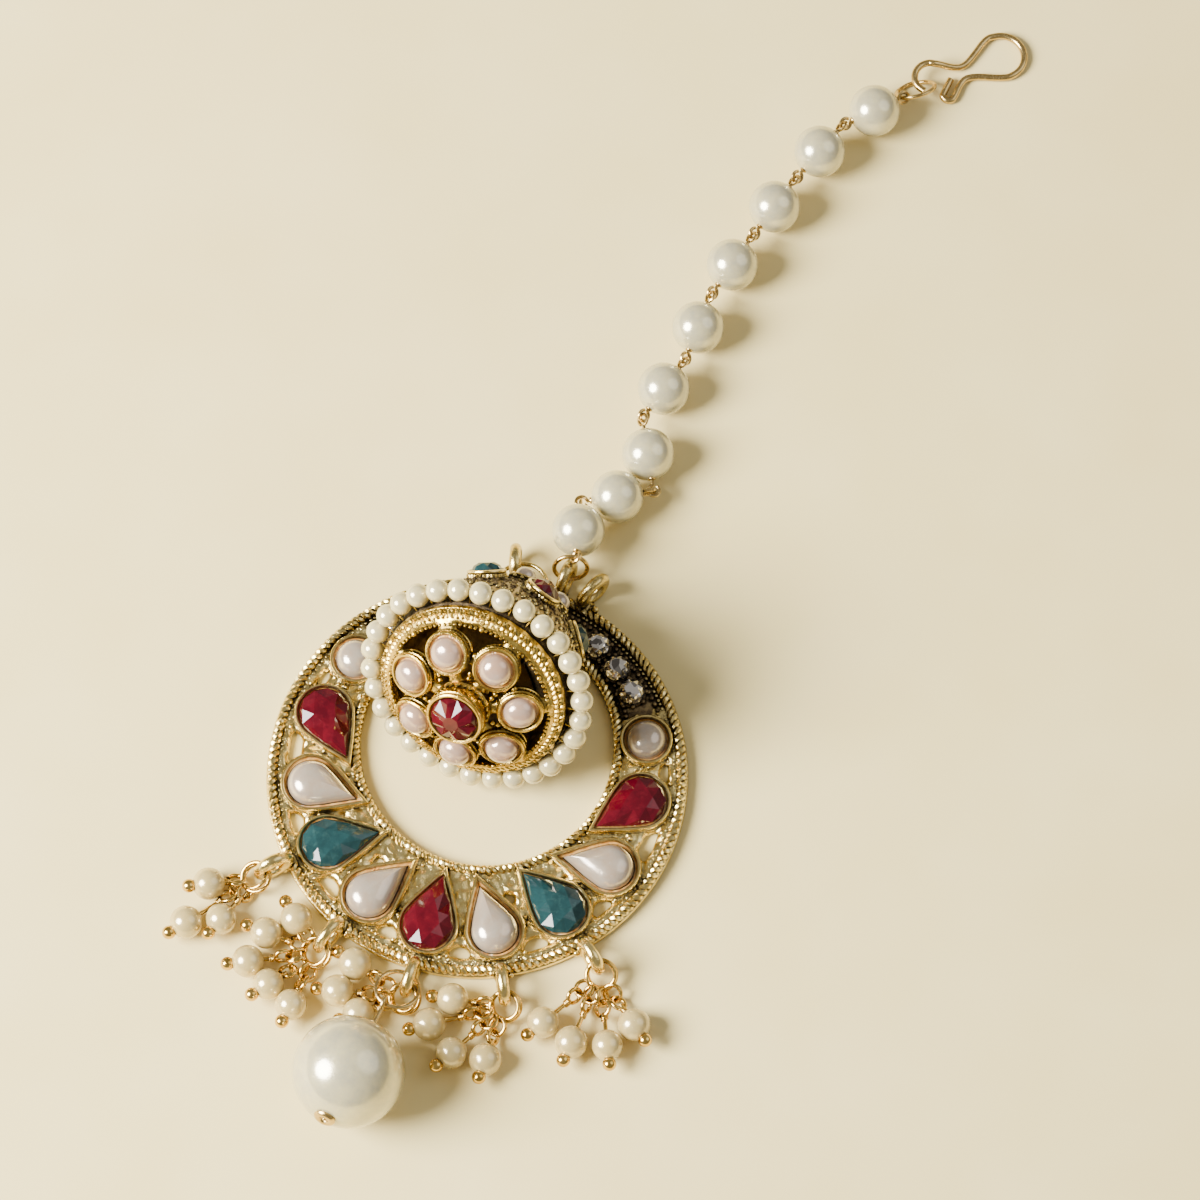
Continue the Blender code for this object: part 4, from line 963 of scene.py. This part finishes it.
def bell_curve(share):
    """Radius and height of the bell's side at a share from its top to its mouth, smoothed."""
    table = np.array(BELL_OUTLINE)
    at = np.linspace(0.0, 1.0, len(table))
    radius = np.polyval(np.polyfit(at, table[:, 0], 4), share)
    height = np.polyval(np.polyfit(at, table[:, 1], 4), share)
    return BELL_RADIUS * radius, BELL_DEPTH * height


def bell_seat(height_share, angle, lift):
    """Place on the bell's side: +Z out of the surface and +Y up towards its top."""
    shares = np.linspace(0.0, 1.0, 400)
    radius, height = bell_curve(shares)
    index = int(np.argmin(np.abs(height - BELL_DEPTH * height_share)))
    index = min(max(index, 1), 398)
    slope = math.atan2(height[index - 1] - height[index + 1], radius[index + 1] - radius[index - 1])
    turn = math.radians(angle)
    out = about_axis(turn, 1.0, 0.0)
    normal = out * math.sin(slope) + Vector((0.0, 0.0, math.cos(slope)))
    centre = out * float(radius[index]) + Vector((0.0, 0.0, float(height[index]))) + normal * lift
    return placed(centre, normal, (-out.y, out.x, 0.0))


def clear_of_floor(seat, half, height):
    """The seat of a stone, sunk into the bell's side where the stone would reach the floor."""
    corners = [seat @ Vector((x, y, z)) for x in (-half, half) for y in (-half, half) for z in (0.0, height)]
    short = 0.12 - min(corner.z for corner in corners)
    lean = -seat.col[2].z
    if short <= 0.0 or lean <= 0.1:
        return seat
    return seat @ Matrix.Translation((0.0, 0.0, -short / lean))


def bell_side(shape, whole):
    """The bell's wall with its cap, rows of beads and grains of two finishes."""
    radius, height = bell_curve(np.linspace(0.0, 1.0, 34))
    outer = list(zip(radius, height))
    inner = [(r - BELL_WALL, h - 0.4) for r, h in reversed(outer)]
    shape.turned(outer + inner, 96, 1, whole)
    cap = ((0.0, 0.35), (0.7, 0.30), (1.3, 0.0), (1.9, -0.4), (1.5, -0.9), (0.0, -0.9))
    shape.turned([(r, BELL_DEPTH + rise) for r, rise in cap], 36, 0, whole, closed=False)
    for height_share, width, count in BELL_BEAD_ROWS:
        for k in range(count):
            seat = whole @ bell_seat(height_share, 360.0 * k / count, 0.05)
            granules(shape, (seat.translation,), width, 0, 7, 4)
    for row, height_share in enumerate(np.linspace(0.38, 0.90, 13)):
        count = int(2 * math.pi * float(bell_seat(height_share, 0.0, 0.0).translation.x) / 0.72)
        for k in range(count):
            angle = 360.0 * (k + 0.5 * (row % 2)) / count + uneven(-2.0, 2.0)
            seat = whole @ bell_seat(height_share + uneven(-0.012, 0.012), angle, 0.0)
            width = uneven(0.35, 0.62)
            granules(shape, (seat.translation,), width, int(RANDOM.random() < 0.72), 6, 4)
    rope(shape, circle(BELL_RADIUS * 0.99, 240, (0.0, 0.0, 2.0), whole), strand=0.22, pitch=1.1, sides=5)


def bell():
    whole = bell_matrix()
    shape = Shape()
    bell_side(shape, whole)
    outline_of = partial(tear_outline, BELL_TEAR_WIDTH, BELL_TEAR_LENGTH)
    tear = outline_of(80)
    small = round_outline(BELL_PEARL_WIDTH, 48)
    half = BELL_TEAR_WIDTH / 2
    seam = Shape()
    for index in range(BELL_STONES):
        number = str(index + 1)
        angle = 360.0 / BELL_STONES * (index + 0.5) + 90.0
        seat = clear_of_floor(whole @ bell_seat(0.60, angle, -0.35), half, 1.95)
        setting(shape, tear, half, seat, height=1.15, floor=0.5, wall=0.30, foot=0.10)
        glue(seam, tear, half, seat, low=0.75, wall=0.30)
        cut_stone("bell_tear_" + number, "ruby_glass" if index % 2 == 0 else "teal_glass",
                  outline_of, 0.82, seat, (0.6, 1.05, 1.95), mains=8)
        seat = clear_of_floor(whole @ bell_seat(0.835, angle + 22.5, -0.25), 1.6, 1.9)
        setting(shape, small, BELL_PEARL_WIDTH / 2, seat, height=0.95, floor=0.4, wall=0.26, foot=0.10)
        bead_ring(shape, seat, 12, 1.62, 0.5, 0.5)
        cabochon("bell_pearl_" + number, LILAC, round_outline(BELL_PEARL_WIDTH, 40), BELL_PEARL_WIDTH / 2,
                 inset=0.30, matrix=seat, bottom=0.5, top=1.9)
    upright = placed((0.0, 0.0, BELL_DEPTH + BELL_EYE_RADIUS), (1, 0, 0), (0, 0, 1))
    shape.tube(circle(BELL_EYE_RADIUS, 32, matrix=whole @ upright), BELL_EYE_WIRE / 2, 10, True)
    seam.finish("bell_glue", (GLUE,), ())
    shape.finish("bell_dome", (GOLD, DARK), ("jhumka_dome",))


def base_height(radius):
    return BASE_RISE * (1 - (radius / BASE_RADIUS) ** 2)


def base_place(angle, radius, sink):
    turn = math.radians(angle)
    out = Vector((math.cos(turn), math.sin(turn), 0.0))
    slope = 2 * BASE_RISE * radius / BASE_RADIUS ** 2
    normal = Vector((out.x * slope, out.y * slope, -1.0)).normalized()
    centre = out * radius - Vector((0.0, 0.0, base_height(radius))) - normal * sink
    return placed(centre, normal, (out.y, -out.x, 0.0))


def base_web():
    """The distance field and the height of the pierced plate between the cups, the collar and the rim."""
    places = []
    bars = []
    for index in range(BASE_STONES):
        turn = math.radians(360.0 / BASE_STONES * index + 90.0)
        out = np.array((math.cos(turn), math.sin(turn)))
        places.append(out * BASE_PEARL_RING)
        bars += [(out * 8.0, out * 9.4, 2.0), (out * 2.6, out * 4.4, 1.5)]
    for near, far in zip(places, places[1:] + places[:1]):
        bars.append((near, far, 1.1))

    def field(x, y):
        radius = np.hypot(x, y)
        fields = [np.hypot(x - place[0], y - place[1]) - 2.42 for place in places]
        fields += [bar_distance(x, y, *row) for row in bars]
        fields += [radius - 3.1, np.abs(radius - 9.6) - 0.72]
        return np.maximum(merged(fields, 0.16), radius - 10.25)

    def top_of(x, y):
        cups = np.min([np.hypot(x - place[0], y - place[1]) for place in places], axis=0)
        inside = (cups < 1.9) | (np.hypot(x, y) < 2.3)
        return np.where(inside, 0.25, 0.85 + 0.05 * np.sin(3.1 * x) * np.sin(2.7 * y))

    return field, top_of


def curved_to_base(verts):
    radius = np.hypot(verts[:, 0], verts[:, 1])
    bent = verts.copy()
    bent[:, 2] = -base_height(radius) + PLATE_SINK - verts[:, 2]
    return bent


def base():
    """The underside: a rim with two ropes, pearls in cups on a pierced plate, and a raised ruby."""
    whole = bell_matrix()
    shape = Shape()
    seam = Shape()
    shape.turned(BASE_RIM, 160, 0, whole)
    rope(shape, circle(9.62, 300, (0.0, 0.0, -0.55), whole), strand=0.26, pitch=1.15, sides=6)
    rope(shape, circle(10.12, 300, (0.0, 0.0, -0.30), whole), strand=0.20, pitch=0.90, sides=5)
    cup = round_outline(BASE_CUP_WIDTH, 90)
    for index in range(BASE_STONES):
        angle = 360.0 / BASE_STONES * index + 90.0
        seat = whole @ base_place(angle, BASE_PEARL_RING, PLATE_SINK)
        cup_seat = seat @ Matrix.Translation((0.0, 0.0, 0.15))
        setting(shape, cup, BASE_CUP_HALF, cup_seat, height=1.45, floor=0.5, wall=0.38, foot=0.10)
        glue(seam, cup, BASE_CUP_HALF, cup_seat, low=1.02, wall=0.38)
        name = "base_pearl_" + str(index + 1)
        cabochon(name + "_cabochon", PEACH, round_outline(BASE_CUP_WIDTH, 64), BASE_CUP_WIDTH / 2,
                 inset=0.66, matrix=seat, bottom=0.9, top=2.70, replaced=(name,))
        pearl_between = angle + 180.0 / BASE_STONES
        for radius, size in ((6.3, 0.8), (4.3, 0.7), (3.7, 0.6), (9.0, 0.6)):
            spin = math.radians(pearl_between + uneven(-3, 3))
            granules(shape, (whole @ about_axis(spin, radius, -base_height(radius) - 0.55),), size, 0, 9, 6)
    field, top_of = base_web()
    web_plate(shape, 10.3, 0.18, field, top_of, whole, curved_to_base)
    bead_ring(shape, whole, 96, 8.98, -base_height(8.98) - 0.45, 0.44, 7, 4)
    seat = whole @ base_place(0.0, 0.0, PLATE_SINK)
    shape.turned(RUBY_COLLAR, 72, 0, seat)
    bead_ring(shape, seat, 26, 3.0, 1.15, 0.5)
    ruby = round_outline(BASE_RUBY_WIDTH, 96)
    ruby_seat = seat @ Matrix.Translation((0.0, 0.0, 1.75))
    setting(shape, ruby, BASE_RUBY_WIDTH / 2, ruby_seat, height=1.6, floor=0.4, wall=0.42, foot=0.0)
    glue(seam, ruby, BASE_RUBY_WIDTH / 2, ruby_seat, low=1.15, wall=0.42)
    cut_stone("base_ruby_cut_stone", "ruby_glass", partial(round_outline, BASE_RUBY_WIDTH), 0.84, seat,
              (2.5, 3.3, 4.35), mains=8, table=0.34, replaced=("base_ruby",))
    seam.finish("base_glue", (GLUE,), ())
    shape.finish("bell_base", (BRIGHT,), ("jhumka_base",))


def seeds():
    """The seed pearls round the bell's mouth, on their wire and lashed with finer wire."""
    whole = bell_matrix()
    shape = Shape()
    wire = Shape()
    for k in range(SEEDS):
        turn = 2 * math.pi * k / SEEDS
        at = whole @ about_axis(turn, SEED_RING_RADIUS, SEED_RING_DEPTH + uneven(-0.12, 0.12))
        along = whole.to_3x3() @ Vector((-math.sin(turn), math.cos(turn), uneven(-0.1, 0.1)))
        width = SEED_WIDTH * uneven(1.03, 1.08)
        shape.ball(at, width, along, 26, 16, stretch=uneven(0.97, 1.0))
        lash_in = whole @ about_axis(turn + 0.1, 10.5, 0.9)
        lash_out = whole @ about_axis(turn + 0.105, SEED_RING_RADIUS, SEED_RING_DEPTH)
        wire.tube(np.array((lash_in, lash_in.lerp(lash_out, 0.5), lash_out)), 0.09, 6)
    wire.tube(circle(SEED_RING_RADIUS, 120, (0.0, 0.0, SEED_RING_DEPTH), whole), 0.12, 6, True)
    wire.finish("seed_pearl_wire", (BRIGHT,), ())
    shape.finish("bell_seed_pearls", (SEED,), ("jhumka_seed_pearls",), sharp=80.0)


# Chain, hook and rings

def smooth(points, per):
    """A soft curve through points."""
    points = np.asarray(points, float)
    last = len(points) - 1
    result = []
    for i in range(last):
        p = [points[min(max(i + k, 0), last)] for k in (-1, 0, 1, 2)]
        bend = 2 * p[0] - 5 * p[1] + 4 * p[2] - p[3]
        twist = 3 * p[1] - p[0] - 3 * p[2] + p[3]
        for s in np.arange(per) / per:
            result.append(0.5 * (2 * p[1] + (p[2] - p[0]) * s + bend * s ** 2 + twist * s ** 3))
    result.append(points[-1])
    return np.array(result)


def eye_points(centre, along, normal, radius, sweep, steps, pitch=0.0):
    """An open loop of wire in the plane across its normal."""
    across = normal.cross(along).normalized()
    points = []
    for i in range(steps + 1):
        turn = math.radians(180.0 + sweep * i / steps)
        points.append(centre + along * radius * math.cos(turn) + across * radius * math.sin(turn)
                      + normal * pitch * i / steps)
    return points


def link_axis(index):
    return (Vector(CHAIN_JOINTS[index + 1]) - Vector(CHAIN_JOINTS[index])).normalized()


def joint_folds(joint):
    if joint in (0, len(CHAIN_JOINTS) - 1):
        return False
    return math.degrees(link_axis(joint - 1).angle(link_axis(joint))) > FOLD_ANGLE


def link_eye(index, at_end):
    """Middle, outward direction and axis of one eye of a link, turned so that two eyes interlock."""
    joint = index + 1 if at_end else index
    along = link_axis(index)
    level = along.cross(Vector((0.0, 0.0, 1.0))).normalized()
    upright = level.cross(along)
    if joint_folds(joint):
        overlap = FOLD_FLAT_OVERLAP if at_end else FOLD_UPRIGHT_OVERLAP
        normal = upright if at_end else level
    else:
        overlap = PIN_OVERLAP
        outermost = joint in (0, len(CHAIN_JOINTS) - 1)
        normal = (level - upright if at_end != outermost else level + upright).normalized()
    out = along if at_end else -along
    return Vector(CHAIN_JOINTS[joint]) - out * overlap, out, normal


def pearl(shape, centre, axis, width, steps, rings, bore):
    """A drilled ball with a small dimple where its wire leaves it."""
    radius = width / 2
    edge = math.asin(bore / 2 / radius)
    bend = np.linspace(edge, math.pi - edge, rings)
    profile = [(bore / 2 * 0.75, radius * math.cos(edge) - 0.18)]
    profile += [(radius * math.sin(b), radius * math.cos(b)) for b in bend]
    profile.append((bore / 2 * 0.75, -radius * math.cos(edge) + 0.18))
    shape.turned(profile, steps, 0, placed(centre, axis))


def chain():
    """Each pearl of the chain, and its pin with an eye and a small coil at both ends."""
    reach = CHAIN_PEARL_WIDTH / 2
    for index in range(len(CHAIN_JOINTS) - 1):
        number = str(index + 1)
        shape = Shape()
        middle = (Vector(CHAIN_JOINTS[index]) + Vector(CHAIN_JOINTS[index + 1])) / 2
        for at_end in (False, True):
            centre, out, normal = link_eye(index, at_end)
            stem = [middle + out * (reach - 0.8), middle + out * (reach - 0.2)]
            path = stem + eye_points(centre, out, normal, PIN_EYE_RADIUS, 322.0, 28)
            shape.tube(np.array([tuple(p) for p in path]), PIN_WIRE / 2, 10)
            shape.tube(circle(0.30, 20, matrix=placed(middle + out * (reach + 0.04), out)), 0.10, 7, True)
        shape.finish("chain_wire_" + number, (BRASS,), ("chain_pin_" + number,))
        bead = Shape()
        pearl(bead, middle, link_axis(index), CHAIN_PEARL_WIDTH, 48, 30, bore=0.7)
        bead.finish("chain_bead_" + number, (IVORY,), ("chain_pearl_" + number,), sharp=60.0)


def arc(centre, radius, start, end, steps, height):
    x, y = centre
    turns = [math.radians(start + (end - start) * i / steps) for i in range(steps + 1)]
    return [Vector((x + radius * math.cos(turn), y + radius * math.sin(turn), height)) for turn in turns]


HOOK_EYE = (25.3, 95.3)
HOOK_EYE_RADIUS = 1.9
HOOK_BOW = (32.2, 100.8)
HOOK_BOW_RADIUS = 2.7
HOOK_CATCH = (27.75, 94.3)
HOOK_CATCH_RADIUS = 0.65
HOOK_EYE_RISE = 1.3


def hook():
    low = HOOK_WIRE / 2 + FLOOR_GAP
    eye = arc(HOOK_EYE, HOOK_EYE_RADIUS, -100.0, -275.0, 6, low + HOOK_EYE_RISE)
    bow = arc(HOOK_BOW, HOOK_BOW_RADIUS, 150.0, -75.0, 8, low)
    catch = arc(HOOK_CATCH, HOOK_CATCH_RADIUS, 0.0, -180.0, 4, low)
    neck = Vector((HOOK_BOW[0] - 1.45 * HOOK_BOW_RADIUS, HOOK_BOW[1] - 0.9 * HOOK_BOW_RADIUS, low))
    heel = Vector((HOOK_CATCH[0] + 2.2 * HOOK_CATCH_RADIUS, HOOK_BOW[1] - 1.4 * HOOK_BOW_RADIUS, low))
    tip = Vector((HOOK_CATCH[0] - 0.5 * HOOK_CATCH_RADIUS, HOOK_CATCH[1] + 3.2 * HOOK_CATCH_RADIUS, low))
    path = smooth([tuple(p) for p in eye + [neck] + bow + [heel] + catch + [tip]], 6)
    shape = Shape()
    shape.tube(path, HOOK_WIRE / 2, 14)
    shape.finish("bent_hair_hook", (BRASS,), ("hair_hook",), sharp=50.0)


def jump_ring(name, near, far, facing, replaced, material):
    """A round wire ring through two places, with the fine cut where its two ends meet."""
    near = Vector(near)
    far = Vector(far)
    chord = far - near
    axis = Vector(facing)
    axis -= chord * (axis.dot(chord) / chord.length_squared)
    path = circle(chord.length / 2, 44, matrix=placed((near + far) / 2, axis, chord))
    path = above_floor(path, RING_WIRE / 2)
    path = np.roll(path, -(len(path) // 3), 0)
    end = path[-1]
    shape = Shape()
    shape.tube(path[:-1], RING_WIRE / 2, 12)
    shape.tube(np.array((path[-2], end + (path[0] - end) * 0.3)), RING_WIRE / 2 * 0.995, 12)
    shape.finish(name, (material,), (replaced,), sharp=50.0)


def rings():
    last = len(CHAIN_JOINTS) - 2
    for name, index, at_end, far in (("hook", 0, False, HOOK_RING_FAR), ("top", last, True, TOP_RING_FAR)):
        near, _, normal = link_eye(index, at_end)
        facing = (Vector(far) - near).cross(normal)
        jump_ring(name + "_jump_ring", near, far, facing, name + "_ring", BRASS)
    near = bell_matrix() @ Vector((0.0, 0.0, BELL_DEPTH + BELL_EYE_RADIUS))
    jump_ring("bell_jump_ring", near, JHUMKA_RING_FAR, (0.0, 0.0, 1.0), "jhumka_ring", GOLD)


# Clusters and drop

WIRE_SLOT = 1
WRAP_WIRE = 0.26
WAY_FOR_A_LINK = 2.9

# Outline of the drop's cap: radius, height
DROP_CAP = ((0.0, 0.30), (0.38, 0.30), (0.46, 0.42), (0.62, 0.52), (0.88, 0.52), (1.10, 0.40), (1.20, 0.20),
            (1.12, 0.04), (0.9, 0.0), (0.0, 0.0))


def cluster_ring(index):
    """Middle, axis and downward direction of a fringe's ring, which leans from its loop to the floor."""
    outward = Vector(polar(LOWER_LOOP_SPACING * index, 1.0))
    near = outward * (CRESCENT_RADIUS + LOWER_LOOP_RADIUS + 0.4)
    near.z = LOWER_LOOP_RADIUS + LOOP_WIRE / 2 - 0.3
    low = CLUSTER_EYE_RADIUS + CLUSTER_PIN_WIRE / 2 + FLOOR_GAP
    fall = near.z - low
    run = math.sqrt((2 * CLUSTER_RING_RADIUS) ** 2 - fall ** 2)
    chord = (outward * run - Vector((0.0, 0.0, fall))).normalized()
    axis = Vector((0.0, 0.0, 1.0))
    axis = (axis - chord * axis.dot(chord)).normalized()
    return near + chord * CLUSTER_RING_RADIUS, axis, chord


def above_floor(points, radius):
    return np.array([(p[0], p[1], max(p[2], radius + 0.05)) for p in points])


def headed_pin(shape, pearl_at, seat, axis):
    """A pin bent into an eye round its ring or a link, with a ball head below its pearl."""
    along = (pearl_at - seat).normalized()
    wire = FRINGE_WIRE / 2
    flat = along.cross(axis).normalized()
    way = (pearl_at - seat).length - SMALL_PEARL_WIDTH / 2
    tilt = math.radians(uneven(35.0, 60.0) * (1 if RANDOM.random() < 0.5 else -1))
    if way > WAY_FOR_A_LINK:
        turned_axis = (flat * math.cos(tilt) + axis * math.sin(tilt)).normalized()
        link = circle(LINK_RADIUS, 30, matrix=placed(seat + along * (LINK_RADIUS - 0.2), turned_axis, along))
        shape.tube(above_floor(link, wire), wire, 9, True, WIRE_SLOT)
        seat = seat + along * (2 * LINK_RADIUS - 0.4)
        tilt = -tilt
    normal = (flat * math.cos(tilt) + axis * math.sin(tilt)).normalized()
    eye = seat + along * (FRINGE_EYE_RADIUS - 0.22)
    points = eye_points(eye, -along, normal, FRINGE_EYE_RADIUS, 335.0, 26, pitch=0.24)
    stop = pearl_at - along * (SMALL_PEARL_WIDTH / 2 - 0.3)
    stem = [stop, stop.lerp(eye, 0.4), stop.lerp(eye, 0.8)]
    shape.tube(above_floor(stem + points, wire), wire, 9, slot=WIRE_SLOT)
    room = (stop - eye).length - FRINGE_EYE_RADIUS
    wrap = []
    for k in range(27):
        out = normal * math.cos(0.7 * k) + normal.cross(along) * math.sin(0.7 * k)
        wrap.append(eye + along * (FRINGE_EYE_RADIUS + 0.08 + min(room, 0.5) * k / 26) + out * 0.32)
    shape.tube(above_floor(wrap, WRAP_WIRE / 2), WRAP_WIRE / 2, 7, slot=WIRE_SLOT)
    head = pearl_at + along * ((SMALL_PEARL_WIDTH + HEAD_WIDTH) / 2 - 0.3)
    shape.tube(np.array((pearl_at + along * 1.4, head)), wire, 9, slot=WIRE_SLOT)
    shape.ball(head, HEAD_WIDTH, along, 22, 14, WIRE_SLOT)


def clusters():
    """Each fringe: its two wire rings, and the pins with their pearls."""
    wire = CLUSTER_RING_WIRE / 2
    for number, (index, places) in enumerate(CLUSTERS, 1):
        middle, axis, chord = cluster_ring(index)
        shape = Shape()
        ring = circle(CLUSTER_RING_RADIUS, 40, matrix=placed(middle, axis, chord))
        shape.tube(ring, wire, 12, True, WIRE_SLOT)
        tipped = (axis + chord.cross(axis) * 0.45).normalized()
        raised = middle + Vector((0.0, 0.0, 0.4))
        second = circle(CLUSTER_RING_RADIUS * 0.94, 40, matrix=placed(raised, tipped, chord))
        second[:, 2] = np.maximum(second[:, 2], wire + FLOOR_GAP)
        shape.tube(second, wire * 0.9, 12, True, WIRE_SLOT)
        for x, y in places:
            at = Vector((x, y, SMALL_PEARL_WIDTH / 2 + FLOOR_GAP))
            toward = at - middle
            toward -= axis * toward.dot(axis)
            seat = middle + toward.normalized() * CLUSTER_RING_RADIUS
            headed_pin(shape, at, seat, axis)
            width = SMALL_PEARL_WIDTH * uneven(0.97, 1.03)
            pearl(shape, at, (at - seat).normalized(), width, 36, 22, bore=0.5)
        name = "pearl_cluster_" + str(number)
        shape.finish(name + "_fringe", (CREAM, ORANGE), (name,), sharp=60.0)


def drop():
    """The large pearl, its pin with a cap and a ball head, and its ring."""
    centre = Vector(DROP_PLACE)
    eye = Vector(DROP_EYE_PLACE)
    along = (centre - eye).normalized()
    bead = Shape()
    pearl(bead, centre, along, DROP_WIDTH, 96, 60, bore=1.0)
    bead.finish("drop_bead", (IVORY,), ("drop_pearl",), sharp=60.0)
    normal = along.cross(Vector((0.0, 0.0, 1.0))).normalized()
    points = eye_points(eye, -along, normal, 1.2 * PIN_EYE_RADIUS, 330.0, 26, pitch=0.25)
    stem = [centre - along * (DROP_WIDTH / 2 - 0.5), centre - along * (DROP_WIDTH / 2 + 0.6)]
    pin = Shape()
    pin.tube(np.array([tuple(p) for p in stem + points]), 0.27, 12)
    foot = centre + along * (DROP_WIDTH / 2 - 0.12)
    pin.turned(DROP_CAP, 48, 0, placed(foot, along), closed=False)
    pin.ball(foot + along * 0.28, 0.42, along, 16, 10)
    pin.finish("drop_pin_and_cap", (BRASS,), ("drop_pin",), sharp=50.0)
    near = (0.0, -(CRESCENT_RADIUS + LOWER_LOOP_RADIUS) + 0.4, LOWER_LOOP_RADIUS + LOOP_WIRE / 2 + 0.3)
    jump_ring("drop_jump_ring", near, eye, (0.0, 0.3, 1.0), "drop_ring", BRASS)


crescent()
crescent_stones()
bell()
base()
seeds()
chain()
hook()
rings()
clusters()
drop()


# Floor, lights and camera

def floor():
    """A plain pale cloth."""
    material, tree, shader, coords = base_material("cream_cloth")
    cloud = noise(tree, coords, 0.05, 2.0)
    colour = clouded(tree, cloud, 0.3, 0.7, (0.79, 0.635, 0.265), (0.83, 0.68, 0.305))
    tree.links.new(colour, shader.inputs["Base Color"])
    preset(shader, Roughness=0.75)
    bumped(tree, shader, noise(tree, coords, 2.4, 2.0), 0.08, 0.05)
    mesh = bpy.data.meshes.new("floor")
    corners = ((-1, -1), (1, -1), (1, 1), (-1, 1))
    mesh.from_pydata([(FLOOR_HALF * x, FLOOR_HALF * y, 0.0) for x, y in corners], [], [(0, 1, 2, 3)])
    mesh.materials.append(material)
    new_object("floor", mesh)


def aimed(made, place, target):
    made.location = place
    made.rotation_euler = (place - target).to_track_quat("Z", "Y").to_euler()


def softbox(name, direction, distance, width, power, colour):
    """A round soft light that faces the object."""
    target = Vector((SHIFT[0], SHIFT[1], 0.0))
    light = bpy.data.lights.new(name, "AREA")
    light.shape = "ELLIPSE"
    light.size = width
    light.size_y = width
    light.energy = power
    light.color = colour
    aimed(new_object(name, light), target + direction.normalized() * distance, target)


def photo_camera():
    """The camera, set as the photo's was."""
    data = bpy.data.cameras.new("camera")
    data.sensor_width = SENSOR_WIDTH
    data.lens = FOCAL_PIXELS / PHOTO_WIDTH * SENSOR_WIDTH
    data.clip_start = 0.01
    made = new_object("camera", data)
    aimed(made, AIM + BACK * DISTANCE, AIM)
    bpy.context.scene.camera = made


def studio(colour, strength):
    """Even light from all round."""
    world = bpy.data.worlds.new("studio")
    world.use_nodes = True
    background = world.node_tree.nodes["Background"]
    background.inputs["Color"].default_value = (*colour, 1.0)
    background.inputs["Strength"].default_value = strength
    bpy.context.scene.world = world


FLOOR_HALF = 1.6
ELEVATION = math.radians(69.0)
AZIMUTH = math.radians(16.5)
DISTANCE = 0.560
SENSOR_WIDTH = 36.0
FOCAL_PIXELS = 5068.0
PHOTO_WIDTH = 1200.0
AIM = Vector((SHIFT[0] + 0.00692, SHIFT[1] + 0.02366, 0.0))
BACK = Vector((math.sin(AZIMUTH) * math.cos(ELEVATION), -math.cos(AZIMUTH) * math.cos(ELEVATION),
               math.sin(ELEVATION)))
RIGHT = Vector((math.cos(AZIMUTH), math.sin(AZIMUTH), 0.0))
UP = BACK.cross(RIGHT)

floor()
photo_camera()
softbox("key", -RIGHT * 0.76 + UP * 0.09 + BACK * 0.65, distance=0.60, width=0.36, power=19.5,
        colour=(1.0, 0.985, 0.95))
softbox("fill", RIGHT * 0.66 + UP * 0.36 + BACK * 0.66, distance=0.9, width=0.75, power=1.7,
        colour=(0.98, 0.98, 1.0))
studio(colour=(1.0, 0.96, 0.90), strength=0.34)
